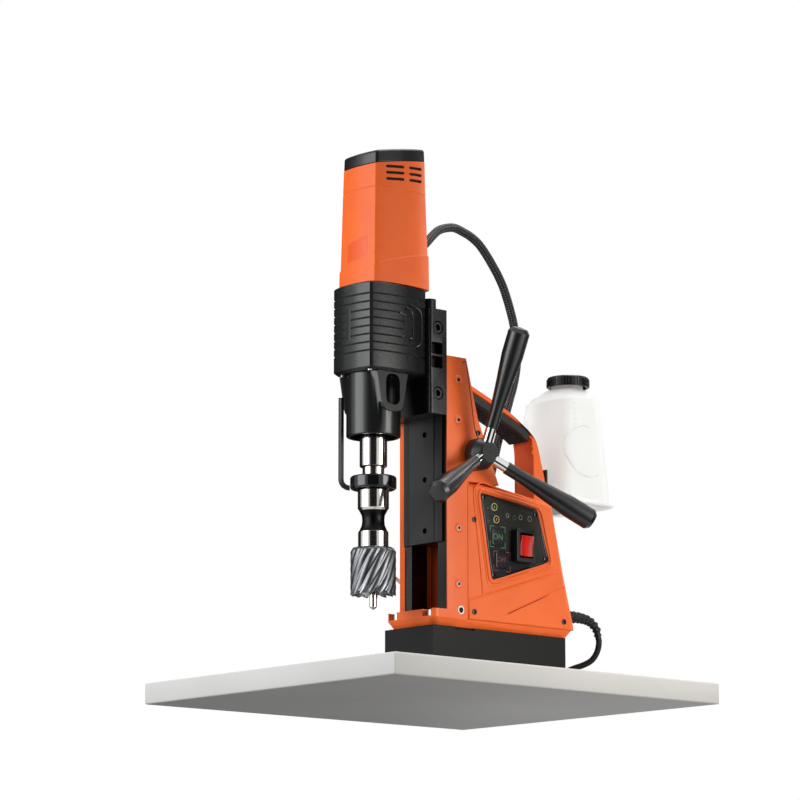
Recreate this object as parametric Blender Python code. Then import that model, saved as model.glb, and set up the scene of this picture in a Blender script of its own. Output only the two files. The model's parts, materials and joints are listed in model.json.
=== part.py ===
"""Portable magnetic drill press, in metres, +Z up.

The origin is the centre of the magnet's underside. The drill unit is at the front, towards -Y,
and the control panel and the capstan are on the right, towards +X.
"""

import math

import bmesh
import bpy
from mathutils import Matrix, Vector

# Fits between pieces
FIT = 0.0003
RUN = 0.0005

# Electromagnet
MAGNET_WIDTH = 0.080
MAGNET_LENGTH = 0.200
MAGNET_HEIGHT = 0.050
POLE_WALL = 0.011
COIL_WIDTH = 0.013
COIL_DEPTH = 0.032
COIL_RECESS = 0.0012
NOTCH_LENGTH = 0.027
NOTCH_DEPTH = 0.0025
NOTCH_START = 0.0335

# Cast frame: base flange and column
COLUMN_WIDTH = 0.080
COLUMN_SETBACK = 0.0215
COLUMN_DEPTH = 0.030
COLUMN_HEIGHT = 0.2831
COLUMN_BEVEL = (0.0008, 0.009)
COLUMN_LEAN = 0.0014
BASE_THICKNESS = 0.018
BASE_OVERHANG = 0.001
BASE_CORNER = 0.008
LIP_HEIGHT = 0.0087
LIP_SLOPE = 0.005
WEB_THICKNESS = 0.005
LEFT_WALL = 0.009
RIGHT_WALL = 0.0065
RIGHT_LIP = 0.0015
BOLT_SPREAD = 0.028
BOLT_FROM_FRONT = 0.0100
BOLT_NOTCH = 0.013
BOLT_RADIUS = 0.004
BOLT_HEAD_RADIUS = 0.006
BOLT_HEAD_HEIGHT = 0.007
BOLT_GRIP = 0.012
BOLT_SEAT = 0.008

# Way rails and slide bar
RAIL_RECESS = 0.001
RAIL_FLANGE = 0.0115
RAIL_LEG = 0.0038
LEFT_RAIL_WIDTH = 0.0103
RIGHT_RAIL_WIDTH = 0.0152
SLIDE_START = 0.0758
SLIDE_LENGTH = 0.2557
SLIDE_PLATE = 0.0037
SLIDE_RIDGE = 0.0010
SLIDE_RIDGE_HALF = 0.0208
SLIDE_TEE = 0.0081
SLIDE_HOLE_RADIUS = 0.0032
SLIDE_HOLES = (0.0139, 0.0710, 0.1216)
SLIDE_HOLE_X = 0.0057
TEE_DROP = 0.002

# Rack and pinion
FEED_MODULE = 0.0015
FEED_TEETH = 18
FEED_BACKLASH = 0.0003
PRESSURE_ANGLE = math.radians(20)
RACK_WIDTH = 0.018
RACK_BACK = 0.0080
RACK_STAND = 0.0051
RACK_SPARE = 0.016
FEED_DOWN = 0.062
PINION_FACE = 0.016
PINION_HEIGHT = 0.1747
SHAFT_RADIUS = 0.008
BUSH_WALL = 0.004

# Capstan
HUB_GAP = 0.005
HUB_LENGTH = 0.020
HUB_RADIUS = 0.018
HUB_FACE_RADIUS = 0.013
HUB_BORE_DEPTH = 0.0055
ARM_OFFSET = 0.0115
ARM_START = 0.0095
ARM_TILT = math.radians(22.5)
ARM_ANGLES = (88.0, 208.0, 328.0)
ROD_RADIUS = 0.006
ROD_LENGTH = 0.075
GRIP_START = 0.030
GRIP_END = 0.146
GRIP_NECK = 0.0072
GRIP_SWELL = 0.0123
GRIP_DOME = 0.006

# Housing behind the column
HOUSING_HALF = 0.0405
COVER_WALL = 0.003
COVER_TOP = 0.1443
HOUSING_DEPTH = 0.161
HOUSING_KNEE = 0.149
HOUSING_CREST = 0.131
COVER_EDGE = 0.007
SKIRT_RISE = 0.0012
SKIRT_CREASE = (0.0193, 0.0238, 0.037, 0.007)
SKIRT_GROOVE = ((0.0587, 0.0020), (0.1455, 0.0388))
GROOVE_SIZE = (0.0024, 0.0008)
GUSSET_FOOT = 0.0475
GUSSET_KNEE = (0.0165, 0.2163)
BACK_WALL = 0.004

# Control panel, its corners measured from the seam and from the top of the base
PANEL_CORNERS = ((0.0175, 0.1337), (0.1035, 0.1237), (0.1225, 0.0657), (0.0345, 0.0372))
PANEL_THICKNESS = 0.0015
PANEL_CORNER = 0.004
BEZEL_RISE = 0.0016
BEZEL_MARGIN = 0.007
PANEL_LEDGE = 0.005
KEY_RISE = 0.0007
KEY_FLANGE = 0.0012
KEY_FLANGE_MARGIN = 0.0012
PAD_KEY = (0.016, 0.018)
ROUND_KEY_RADIUS = 0.0055
ON_KEY = (0.0434, 0.0862)
OFF_KEY = (0.0490, 0.0610)
MODE_KEY = (0.0381, 0.1191)
SPEED_KEY = (0.0419, 0.1053)
SWITCH_AT = (0.0795, 0.0790)
SWITCH_SIZE = (0.0290, 0.0370)
SWITCH_RISE = 0.0090
SWITCH_RIM = 0.0032
SWITCH_BODY_DEPTH = 0.016
ROCKER_CLEAR = 0.0006
ROCKER_THICKNESS = 0.008
ROCKER_LEAN = math.radians(9)
BOARD_STANDOFF = 0.018
BOARD_THICKNESS = 0.0016
BOARD_SIZE = (0.046, 0.020)
BOARD_AT = (0.0735, 0.1090)
POST_RADIUS = 0.0025

# Carry handle and its spine
SPINE_WIDTH = 0.032
HANDLE_BAR = 0.0085
HANDLE_LEG = 0.025
SPINE_WALL = 0.012
HANDLE_EDGE = 0.004
GRIP_INSERT = 0.0105
HANDLE_RISE = (0.0271, 0.2620)
HANDLE_CREST = (0.0875, 0.2387)
HANDLE_BEND = 0.052
LEG_TOP = 0.150
SPINE_STEP = 0.0015

# Drill unit: gear case and spindle tube
SPINDLE_REACH = 0.073
CASE_REACH = 0.064
CASE_HALF_X = 0.033
CASE_HALF_Y = 0.040
CASE_BULGE = 0.005
CASE_CORNER = 0.08
CASE_BOTTOM = 0.2562
CASE_HEIGHT = 0.0985
CASE_BAND = 0.014
CASE_RIBS = 7
CASE_RIB_PITCH = 0.0091
CASE_GROOVE = 0.0022
CASE_GROOVE_DEPTH = 0.0011
FLANGE_HALF = 0.040
FLANGE_DEPTH = 0.0245
FLANGE_BOTTOM = 0.2157
FLANGE_HEIGHT = 0.118
LUG_RADIUS = 0.0075
LUG_AT = (0.026, 0.0132)
LUG_RISE = 0.0125
CLAMP_HEIGHTS = (0.023, 0.097)
CLAMP_RADIUS = 0.004
CLAMP_HEAD_RADIUS = 0.0065
CLAMP_HEAD = 0.008
CLAMP_LENGTH = 0.026
POCKET_SIZE = (0.016, 0.0135)
POCKET_HEIGHTS = (0.0578, 0.0735)
POCKET_DEPTH = 0.010
TUBE_RADIUS = 0.030
TUBE_BORE = 0.0262
TUBE_LENGTH = 0.0689
PAD_WIDTHS = (0.043, 0.027)
PAD_HEIGHT = 0.0435
PAD_RISE = 0.0028
DRIFT_SLOT = (0.020, 0.0345)

# Spindle, arbor, cutter and pilot pin
NOSE_RADIUS = 0.0152
NOSE_DROP = 0.0332
TAIL_RADIUS = 0.010
TAIL_LENGTH = 0.0405
BEARING_HEIGHT = 0.012
SPINDLE_BEARING = 0.019
LOWER_BEARING_LIFT = 0.0165
TAPER_LENGTH = 0.072
TAPER_RADII = (0.0110, 0.0092)
RING_RADIUS = 0.0255
RING_HEIGHT = 0.0144
RING_DROP = 0.0103
NECK_RADIUS = 0.012
COLLAR_RADIUS = 0.0172
COLLAR_HEIGHT = 0.0227
WAIST_RADIUS = 0.0122
WAIST_HEIGHT = 0.0223
LOWER_COLLAR_RADIUS = 0.0167
LOWER_COLLAR_HEIGHT = 0.0192
CUTTER_RADIUS = 0.025
CUTTER_HEIGHT = 0.052
CUTTER_WALL = 0.0062
CUTTER_FLUTES = 14
CUTTER_FLUTE_DEPTH = 0.0022
CUTTER_TWIST = math.radians(61)
CUTTER_STEPS = 5
CUTTER_ROOF = 0.009
TOOTH_NOTCH = 0.0032
SHANK_RADIUS = 0.0095
SHANK_LENGTH = 0.018
PILOT_RADIUS = 0.004
PILOT_REACH = 0.016
PILOT_STROKE = 0.016
PILOT_INSIDE = 0.030
ARM_BAR_RADIUS = 0.003
ARM_BAR_ORBIT = 0.0355
ARM_BAR_TOP = 0.102
ARM_BAR_BEND = 0.0095
ARM_BAR_SIDE = math.radians(230)

# Motor and gear train
MOTOR_REACH = 0.0575
MOTOR_HALF_BOTTOM = (0.0315, 0.0387)
MOTOR_HALF_TOP = (0.0293, 0.0355)
MOTOR_BULGE = 0.005
MOTOR_HEIGHT = 0.141
MOTOR_FOOT = 0.0191
MOTOR_FOOT_STEP = 0.0009
MOTOR_FOOT_TILT = (0.36, 0.245)
MOTOR_LINE = 0.108
MOTOR_LINE_DEPTH = 0.0008
MOTOR_FLOOR = 0.008
MOTOR_BORE = 0.0275
CAP_HEIGHT = 0.0145
CAP_CHAMFER = 0.002
CAP_TILT = (0.0, 0.17)
CAP_BOSS_RADIUS = 0.013
CAP_BOSS = 0.014
VENT_HEIGHT = 0.0033
VENT_PITCH = 0.0071
VENT_ROWS = 3
VENT_TOP = 0.1342
VENT_TILT = 0.09
VENT_COLUMNS = ((-0.0252, -0.0002), (0.0072, 0.028))
STATOR_WALL = 0.009
STATOR_LENGTH = 0.055
STATOR_LIFT = 0.028
CORE_GAP = 0.0008
ARMATURE_SHAFT = 0.004
FAN_RADIUS = 0.025
COMMUTATOR_RADIUS = 0.011
SMALL_BEARING_WALL = 0.0068
DRIVE_MODULE = 0.0008
ARMATURE_TEETH = 8
WHEEL_TEETH = 34
IDLER_TEETH = 12
SPINDLE_TEETH = 50
DRIVE_BACKLASH = 0.00035
GEAR_FACE = 0.010
GEAR_WALL = 0.0010
IDLER_SHAFT = 0.003
IDLER_STUB = 0.006

# Coolant bottle
BOTTLE_CENTRE_X = -0.0145
BOTTLE_HALF = (0.049, 0.0381)
BOTTLE_TAPER = (0.955, 0.905, 0.855, 0.73)
BOTTLE_LEAN = (0.004, 0.0085)
BOTTLE_HEIGHT = 0.1300
BOTTLE_SHOULDER = 0.011
BOTTLE_WALL = 0.0018
BOTTLE_FOOT = 0.004
BOTTLE_NECK_RADIUS = 0.021
BOTTLE_NECK = 0.010
BOTTLE_CAP_RADIUS = 0.0245
BOTTLE_CAP_HEIGHT = 0.012
BOTTLE_CAP_GAP = 0.0024
BOTTLE_CAP_WALL = 0.0022
BOTTLE_CAP_RIBS = 24
BOTTLE_CAP_RIB = 0.0007
BOTTLE_LIFT = 0.1387
BRACKET_THICKNESS = 0.0026
BRACKET_RISE = 0.040
BRACKET_SHELF = (0.044, 0.050)
TAP_RADIUS = 0.006
TAP_LENGTH = 0.016
TAP_BARB = 0.0026

# Conduit, hose and power cord
CONDUIT_RADIUS = 0.005
GLAND_RADIUS = 0.008
GLAND_HEIGHT = 0.011
GLAND_LIFT = 0.052
GLAND_X = -0.006
GLAND_SWEEP = 0.016
GLAND_RISE = math.radians(42)
CONDUIT_FOOT = (-0.0275, 0.0935)
CONDUIT_ROUTE = (
    (-0.0110, -0.0472, 0.5062), (-0.0140, -0.0293, 0.5136), (-0.0165, -0.0101, 0.5153),
    (-0.0205, 0.0245, 0.5050), (-0.0235, 0.0568, 0.4744), (-0.0255, 0.0726, 0.4510),
    (-0.0275, 0.0869, 0.4166), (-0.0288, 0.0925, 0.3822), (-0.0293, 0.0888, 0.3547),
    (-0.0295, 0.0809, 0.3302), (-0.0290, 0.0684, 0.2959), (-0.0285, 0.0592, 0.2715),
)
HOSE_RADIUS = 0.002
HOSE_ROUTE = (
    (-0.0360, 0.1190, 0.1380), (-0.0510, 0.0850, 0.1170), (-0.0520, 0.0300, 0.1010),
    (-0.0520, -0.0300, 0.0990), (-0.0510, -0.0680, 0.1080), (-0.0500, -0.0930, 0.1280),
    (-0.0500, -0.1070, 0.1580), (-0.0460, -0.1130, 0.1860),
)
INLET_WAY = Vector((-0.75, 0.66, 0)).normalized()
INLET_RADIUS = 0.0028
INLET_LENGTH = 0.006
CORD_RADIUS = 0.0035
RELIEF_RADIUS = 0.008
RELIEF_END_RADIUS = 0.0050
RELIEF_RIBS = 9
RELIEF_ROUTE = (
    (0.0265, 0.0, 0.0765), (0.0265, 0.0220, 0.0768), (0.0263, 0.0385, 0.0740),
    (0.0260, 0.0490, 0.0668), (0.0257, 0.0523, 0.0585),
)
CORD_ROUTE = (
    (0.0238, 0.1683, 0.0470), (0.0183, 0.1677, 0.0362), (0.0103, 0.1634, 0.0281),
    (0.0003, 0.1551, 0.0242), (-0.0150, 0.1420, 0.0150), (-0.0310, 0.1290, 0.0075),
    (-0.0460, 0.1140, 0.0042), (-0.0570, 0.0960, 0.0040), (-0.0640, 0.0760, 0.0040),
)
COIL_CENTRE = (-0.112, 0.030)
COIL_OUTER = 0.0461
COIL_PITCH = 0.0077
COIL_LAYERS = 4
COIL_TURNS = 2
COIL_POINTS = 24
COIL_FLOOR_GAP = 0.0003
PLUG_RADIUS = 0.018
PLUG_LENGTH = 0.042
PLUG_PIN_RADIUS = 0.0024
PLUG_PIN_LENGTH = 0.019
PLUG_PIN_SPREAD = 0.0095

# Heights and planes worked out from the sizes above
HALF_WIDTH = COLUMN_WIDTH / 2
BASE_BOTTOM = MAGNET_HEIGHT + FIT
BASE_TOP = BASE_BOTTOM + BASE_THICKNESS
LIP_TOP = BASE_BOTTOM + LIP_HEIGHT
COLUMN_TOP = BASE_TOP + COLUMN_HEIGHT
COLUMN_FRONT = -MAGNET_LENGTH / 2 + COLUMN_SETBACK
SEAM = COLUMN_FRONT + COLUMN_DEPTH
WEB_BACK = SEAM + WEB_THICKNESS
HOUSING_TOP = BASE_TOP + COVER_TOP
HOUSING_REAR = SEAM + HOUSING_DEPTH
RAIL_FRONT = COLUMN_FRONT + RAIL_RECESS
RAIL_BACK = RAIL_FRONT + RAIL_FLANGE
LEFT_INNER = -HALF_WIDTH + LEFT_WALL
RIGHT_INNER = HALF_WIDTH - RIGHT_WALL
RIGHT_LIP_INNER = HALF_WIDTH - RIGHT_LIP
SLIDE_BOTTOM = BASE_TOP + SLIDE_START
SLIDE_TOP = SLIDE_BOTTOM + SLIDE_LENGTH
SLIDE_FACE = RAIL_FRONT - FIT - SLIDE_PLATE
SLIDE_BACK = RAIL_BACK + FIT + SLIDE_TEE
FEED_RADIUS = FEED_MODULE * FEED_TEETH / 2
RACK_PITCH_LINE = SLIDE_BACK + RACK_STAND
PINION_Y = RACK_PITCH_LINE + FEED_RADIUS
PINION_Z = BASE_TOP + PINION_HEIGHT
SPINDLE_Y = COLUMN_FRONT - SPINDLE_REACH
CASE_Y = COLUMN_FRONT - CASE_REACH
MOTOR_Y = COLUMN_FRONT - MOTOR_REACH
CASE_Z = BASE_TOP + CASE_BOTTOM
CASE_TOP = CASE_Z + CASE_HEIGHT
FLANGE_BACK = COLUMN_FRONT - FIT
FLANGE_FRONT = FLANGE_BACK - FLANGE_DEPTH
FLANGE_Z = BASE_TOP + FLANGE_BOTTOM
FLANGE_TOP = FLANGE_Z + FLANGE_HEIGHT
TUBE_TOP = CASE_Z - FIT
TUBE_Z = TUBE_TOP - TUBE_LENGTH
NOSE_Z = TUBE_Z - NOSE_DROP
RING_TOP = NOSE_Z - RING_DROP
COLLAR_TOP = RING_TOP - RING_HEIGHT - FIT
WAIST_TOP = COLLAR_TOP - COLLAR_HEIGHT
LOWER_COLLAR_TOP = WAIST_TOP - WAIST_HEIGHT
CUTTER_TOP = LOWER_COLLAR_TOP - LOWER_COLLAR_HEIGHT - FIT
CUTTER_Z = CUTTER_TOP - CUTTER_HEIGHT
MOTOR_Z = CASE_TOP + FIT
MOTOR_TOP = MOTOR_Z + MOTOR_HEIGHT
CAP_Z = MOTOR_TOP + FIT
SPINE_HALF = SPINE_WIDTH / 2
BAR_FRONT = WEB_BACK + FIT
BUSH_RADIUS = SHAFT_RADIUS + RUN + BUSH_WALL
HUB_X = HALF_WIDTH + HUB_GAP
PANEL_FACE = HOUSING_HALF + BEZEL_RISE - FIT
PANEL_BACK = PANEL_FACE - PANEL_THICKNESS
TEE_TOP = COLUMN_TOP - TEE_DROP
BOTTLE_Z = BASE_TOP + BOTTLE_LIFT
BOLT_Y = -MAGNET_LENGTH / 2 + BOLT_FROM_FRONT
BOLT_SEAT_Z = BASE_TOP - BOLT_SEAT
BOLT_DEPTH = BOLT_SEAT_Z - MAGNET_HEIGHT + BOLT_GRIP
LEFT_RAIL_EDGE = LEFT_INNER + FIT + LEFT_RAIL_WIDTH
RIGHT_RAIL_EDGE = RIGHT_LIP_INNER - FIT - RIGHT_RAIL_WIDTH
LEFT_LEG_EDGE = LEFT_INNER + FIT + RAIL_LEG
RIGHT_LEG_EDGE = RIGHT_INNER - FIT - RAIL_LEG
SLIDE_LEFT = LEFT_INNER + RUN
SLIDE_RIGHT = RIGHT_INNER - RUN
RACK_FLOOR = RACK_PITCH_LINE - RACK_BACK
CLAMP_Y = FLANGE_BACK - FLANGE_DEPTH * 0.52
POCKET_Y = FLANGE_BACK - FLANGE_DEPTH * 0.58
CLAMP_SEAT = FLANGE_HALF - CLAMP_HEAD - FIT
LOW_BEARING = ARMATURE_SHAFT + RUN + SMALL_BEARING_WALL
TOP_SEAT = CAP_Z - CAP_BOSS
STATOR_Z = MOTOR_Z + MOTOR_FLOOR + STATOR_LIFT

# Gear train places, worked out from the tooth counts
ARMATURE_PITCH = DRIVE_MODULE * ARMATURE_TEETH / 2
WHEEL_PITCH = DRIVE_MODULE * WHEEL_TEETH / 2
IDLER_PITCH = DRIVE_MODULE * IDLER_TEETH / 2
SPINDLE_PITCH = DRIVE_MODULE * SPINDLE_TEETH / 2
BEARING_SEAT_Z = CASE_Z + FIT
GEAR_FLOOR = BEARING_SEAT_Z + BEARING_HEIGHT + FIT
LOW_GEAR_Z = GEAR_FLOOR + 2 * GEAR_WALL
HIGH_GEAR_Z = LOW_GEAR_Z + 4 * GEAR_FACE


def crossing(first, first_radius, second, second_radius):
    """The point at these two distances from two centres, on the -X side."""
    span = Vector(second) - Vector(first)
    gap = span.length
    along = (gap ** 2 + first_radius ** 2 - second_radius ** 2) / (2 * gap)
    aside = math.sqrt(first_radius ** 2 - along ** 2)
    unit = span / gap
    side = Vector((-unit.y, unit.x))
    if side.x > 0:
        side = -side
    return Vector(first) + unit * along + side * aside


IDLER_AT = crossing(
    (0, SPINDLE_Y), SPINDLE_PITCH + IDLER_PITCH, (0, MOTOR_Y), ARMATURE_PITCH + WHEEL_PITCH
)


def mesh_phase(centre, other, teeth, other_teeth, other_phase):
    """The tooth angle of a gear that meets another gear's tooth with a gap."""
    span = Vector(other) - Vector(centre)
    toward = math.atan2(span.y, span.x)
    back = toward + math.pi
    pitch = math.tau / other_teeth
    offset = (back - other_phase) / pitch
    slip = (offset - math.floor(offset)) * math.tau / teeth
    return toward + math.pi / teeth + slip


ARMATURE_PHASE = 0.0
WHEEL_PHASE = mesh_phase(IDLER_AT, (0, MOTOR_Y), WHEEL_TEETH, ARMATURE_TEETH, ARMATURE_PHASE)
IDLER_PHASE = 0.0
SPINDLE_PHASE = mesh_phase((0, SPINDLE_Y), IDLER_AT, SPINDLE_TEETH, IDLER_TEETH, IDLER_PHASE)


def clear_scene():
    """Removes every object that the scene starts with."""
    for obj in list(bpy.data.objects):
        bpy.data.objects.remove(obj, do_unlink=True)


def paint(name, colour, roughness, metallic=0.0):
    """A Principled material."""
    made = bpy.data.materials.new(name)
    made.use_nodes = True
    shader = made.node_tree.nodes["Principled BSDF"]
    shader.inputs["Base Color"].default_value = (*colour, 1.0)
    shader.inputs["Roughness"].default_value = roughness
    shader.inputs["Metallic"].default_value = metallic
    return made


def pivot(name, place=(0.0, 0.0, 0.0)):
    """An empty on a joint's axis, which carries the pieces of one body."""
    made = bpy.data.objects.new(name, None)
    made.location = place
    bpy.context.scene.collection.objects.link(made)
    return made


def solid(name, bm, finish, carrier):
    """Makes a bmesh in world coordinates an object under its body's empty."""
    bmesh.ops.translate(bm, vec=-Vector(carrier.location), verts=bm.verts)
    bmesh.ops.recalc_face_normals(bm, faces=bm.faces)
    mesh = bpy.data.meshes.new(name)
    bm.to_mesh(mesh)
    bm.free()
    mesh.materials.append(finish)
    mesh.shade_smooth()
    mesh.set_sharp_from_angle(angle=math.radians(35))
    made = bpy.data.objects.new(name, mesh)
    made.parent = carrier
    bpy.context.scene.collection.objects.link(made)
    return made


def combine(target, bm, operation):
    """Adds a live Boolean with a hidden helper made from a bmesh in world coordinates."""
    helper = solid(f"{target.name}_helper", bm, target.data.materials[0], target.parent)
    helper.hide_render = True
    helper.display_type = "WIRE"
    step = target.modifiers.new(operation.lower(), "BOOLEAN")
    step.operation = operation
    step.object = helper


def cut(target, *shapes):
    """Cuts shapes out of an object."""
    for bm in shapes:
        combine(target, bm, "DIFFERENCE")


def join(target, *shapes):
    """Joins shapes to an object."""
    for bm in shapes:
        combine(target, bm, "UNION")


def merged(*shapes):
    """Puts shapes that don't touch into one bmesh."""
    whole = bmesh.new()
    for bm in shapes:
        holder = bpy.data.meshes.new("holder")
        bm.to_mesh(holder)
        bm.free()
        whole.from_mesh(holder)
        bpy.data.meshes.remove(holder)
    return whole


def loft(rings, closed=False):
    """Skins rings of equal counts, with flat ends, or as a closed tube."""
    bm = bmesh.new()
    rows = [[bm.verts.new(point) for point in ring] for ring in rings]
    count = len(rows[0])
    pairs = list(zip(rows, rows[1:]))
    if closed:
        pairs.append((rows[-1], rows[0]))
    for low, high in pairs:
        for i in range(count):
            j = (i + 1) % count
            bm.faces.new((low[i], low[j], high[j], high[i]))
    if not closed:
        bm.faces.new(rows[0])
        bm.faces.new(rows[-1])
    bmesh.ops.recalc_face_normals(bm, faces=bm.faces)
    return bm


def raised(outline, axis, level):
    """Outline points in space: (y, z) at an X level, (x, z) at a Y level or (x, y) at a Z level."""
    if axis == "X":
        return [(level, u, v) for u, v in outline]
    if axis == "Y":
        return [(u, level, v) for u, v in outline]
    return [(u, v, level) for u, v in outline]


def prism(outline, axis, low, high):
    """Extrudes an outline along an axis."""
    return loft([raised(outline, axis, low), raised(outline, axis, high)])


def box(x, y, z):
    """A block from three (low, high) pairs."""
    return prism([(x[0], y[0]), (x[1], y[0]), (x[1], y[1]), (x[0], y[1])], "Z", z[0], z[1])


def around(centre, size):
    """The (low, high) pair of a length about a centre."""
    return centre - size / 2, centre + size / 2


def turned(profile, segments=32, hollow=False):
    """Spins (radius, height) points about Z: from pole to pole, or a closed hollow section."""
    bm = bmesh.new()
    verts = [bm.verts.new((radius, 0.0, height)) for radius, height in profile]
    edges = [bm.edges.new(pair) for pair in zip(verts, verts[1:])]
    if hollow:
        edges.append(bm.edges.new((verts[-1], verts[0])))
    bmesh.ops.spin(
        bm, geom=verts + edges, axis=(0, 0, 1), cent=(0, 0, 0),
        angle=math.tau, steps=segments, use_merge=True,
    )
    bmesh.ops.remove_doubles(bm, verts=bm.verts, dist=1e-6)
    bmesh.ops.recalc_face_normals(bm, faces=bm.faces)
    return bm


def aimed(bm, place, direction=(0, 0, 1)):
    """Turns a shape's Z to a direction and moves its origin to a place."""
    turn = Vector(direction).to_track_quat("Z", "Y").to_matrix().to_4x4()
    bm.transform(Matrix.Translation(place) @ turn)
    return bm


def rod(radius, start, end, segments=16):
    """A round bar between two points."""
    span = Vector(end) - Vector(start)
    profile = [(0, 0), (radius, 0), (radius, span.length), (0, span.length)]
    return aimed(turned(profile, segments), start, span)


def stepped(sections, place, segments):
    """A round bar of several (radius, low, high) sections about a vertical axis."""
    profile = [(0, sections[0][1])]
    for radius, low, high in sections:
        profile += [(radius, low), (radius, high)]
    profile.append((0, sections[-1][2]))
    return aimed(turned(profile, segments), (place[0], place[1], 0))


def ring(inner, outer, low, high, place, segments=24):
    """A plain ring about a vertical axis."""
    section = [(inner, low), (outer, low), (outer, high), (inner, high)]
    return aimed(turned(section, segments, hollow=True), (place[0], place[1], 0))


def rounded(points, setbacks, steps=3):
    """Cuts each corner of an outline back with a curve."""
    made = []
    count = len(points)
    if not isinstance(setbacks, (list, tuple)):
        setbacks = [setbacks] * count
    for i, setback in enumerate(setbacks):
        corner = Vector(points[i])
        if not setback:
            made.append(tuple(corner))
            continue
        before = corner + (Vector(points[i - 1]) - corner).normalized() * setback
        after = corner + (Vector(points[(i + 1) % count]) - corner).normalized() * setback
        for k in range(steps + 1):
            t = k / steps
            made.append(tuple(before.lerp(corner, t).lerp(corner.lerp(after, t), t)))
    return made


def inset(points, amount):
    """Moves each side of an outline inwards, or outwards where the amount is negative."""
    count = len(points)
    area = sum(
        points[i][0] * points[(i + 1) % count][1] - points[(i + 1) % count][0] * points[i][1]
        for i in range(count)
    )
    turn = 1 if area > 0 else -1
    made = []
    for i in range(count):
        here = Vector(points[i])
        back = (here - Vector(points[i - 1])).normalized()
        ahead = (Vector(points[(i + 1) % count]) - here).normalized()
        normal_back = Vector((-back.y, back.x)) * turn
        normal_ahead = Vector((-ahead.y, ahead.x)) * turn
        half = normal_back + normal_ahead
        made.append(tuple(here + half * (amount / (1 + normal_back.dot(normal_ahead)))))
    return made


def rectangle(width, length, centre=(0.0, 0.0)):
    """A rectangle's corners."""
    x = width / 2
    y = length / 2
    return [(centre[0] + u, centre[1] + v) for u, v in ((-x, -y), (x, -y), (x, y), (-x, y))]


def circle(radius, centre=(0.0, 0.0), count=14):
    """Points round a circle."""
    return [
        (centre[0] + radius * math.cos(math.tau * k / count),
         centre[1] + radius * math.sin(math.tau * k / count))
        for k in range(count)
    ]


def bowed(half_x, half_y, bulge, centre, corner=0.08, steps=4):
    """A square outline with outward-bowed sides and narrow flats at its corners."""
    made = []
    corners = [(half_x, -half_y), (half_x, half_y), (-half_x, half_y), (-half_x, -half_y)]
    outward = [(1, 0), (0, 1), (-1, 0), (0, -1)]
    for i, normal in enumerate(outward):
        start = Vector(corners[i])
        end = Vector(corners[(i + 1) % 4])
        for k in range(steps + 1):
            t = corner / 2 + (1 - corner) * k / steps
            rise = bulge * 4 * t * (1 - t)
            point = start.lerp(end, t) + Vector(normal) * rise
            made.append((centre[0] + point.x, centre[1] + point.y))
    return made


def gear_outline(teeth, module, backlash, phase=0.0, fine=True):
    """Involute teeth about the origin, one tooth at the phase angle; a fine one has straight flanks."""
    pitch = module * teeth / 2
    base = pitch * math.cos(PRESSURE_ANGLE)
    tip = pitch + 0.95 * module
    root = pitch - 1.2 * module
    half = math.pi / (2 * teeth) - backlash / (2 * pitch)

    def involute(radius):
        if radius <= base:
            return 0.0
        spread = math.sqrt((radius / base) ** 2 - 1)
        return spread - math.atan(spread)

    def flank(radius):
        return max(half + involute(pitch) - involute(radius), 0.05 * half)

    levels = (root, tip) if fine else (root, pitch, tip)
    made = []
    for k in range(teeth):
        middle = phase + math.tau * k / teeth
        for radius in levels:
            made.append((radius, middle - flank(radius)))
        for radius in reversed(levels):
            made.append((radius, middle + flank(radius)))
    return [(radius * math.cos(angle), radius * math.sin(angle)) for radius, angle in made]


def smooth_route(points, spacing):
    """Reads points at a steady spacing from a smooth curve through a route."""
    knots = [Vector(point) for point in points]
    knots = [2 * knots[0] - knots[1]] + knots + [2 * knots[-1] - knots[-2]]
    dense = []
    for i in range(1, len(knots) - 2):
        a, b, c, d = knots[i - 1:i + 3]
        for k in range(24):
            t = k / 24
            dense.append(0.5 * (
                2 * b + (c - a) * t + (2 * a - 5 * b + 4 * c - d) * t ** 2
                + (3 * b - a - 3 * c + d) * t ** 3
            ))
    dense.append(knots[-2])
    total = sum((b - a).length for a, b in zip(dense, dense[1:]))
    count = max(2, round(total / spacing))
    made = [dense[0]]
    walked = 0.0
    for a, b in zip(dense, dense[1:]):
        step = (b - a).length
        while len(made) < count and walked + step >= total * len(made) / count:
            made.append(a.lerp(b, (total * len(made) / count - walked) / step))
        walked += step
    made.append(dense[-1])
    return made


def led(points, spacing):
    """A smooth route whose first and last stretches stay straight."""
    return [Vector(points[0])] + smooth_route(points[1:-1], spacing) + [Vector(points[-1])]


def tube(name, points, radius, finish, carrier, resolution=2, radii=None):
    """A round cord along points, as a bevelled curve with filled caps."""
    curve = bpy.data.curves.new(name, "CURVE")
    curve.dimensions = "3D"
    curve.bevel_depth = radius
    curve.bevel_resolution = resolution
    curve.use_fill_caps = True
    spline = curve.splines.new("POLY")
    spline.points.add(len(points) - 1)
    for k, point in enumerate(points):
        place = Vector(point) - Vector(carrier.location)
        spline.points[k].co = (*place, 1.0)
        spline.points[k].radius = radii[k] if radii else 1.0
    curve.materials.append(finish)
    made = bpy.data.objects.new(name, curve)
    made.parent = carrier
    bpy.context.scene.collection.objects.link(made)
    return made


def length_of(points):
    """The length along points."""
    return sum((Vector(b) - Vector(a)).length for a, b in zip(points, points[1:]))


def least_gap(points, radius, apart):
    """The least clear distance of a tube to itself, leaving out near neighbours along it."""
    best = math.inf
    for i, here in enumerate(points):
        for there in points[i + apart:]:
            best = min(best, (here - there).length)
    return best - 2 * radius


clear_scene()

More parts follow.
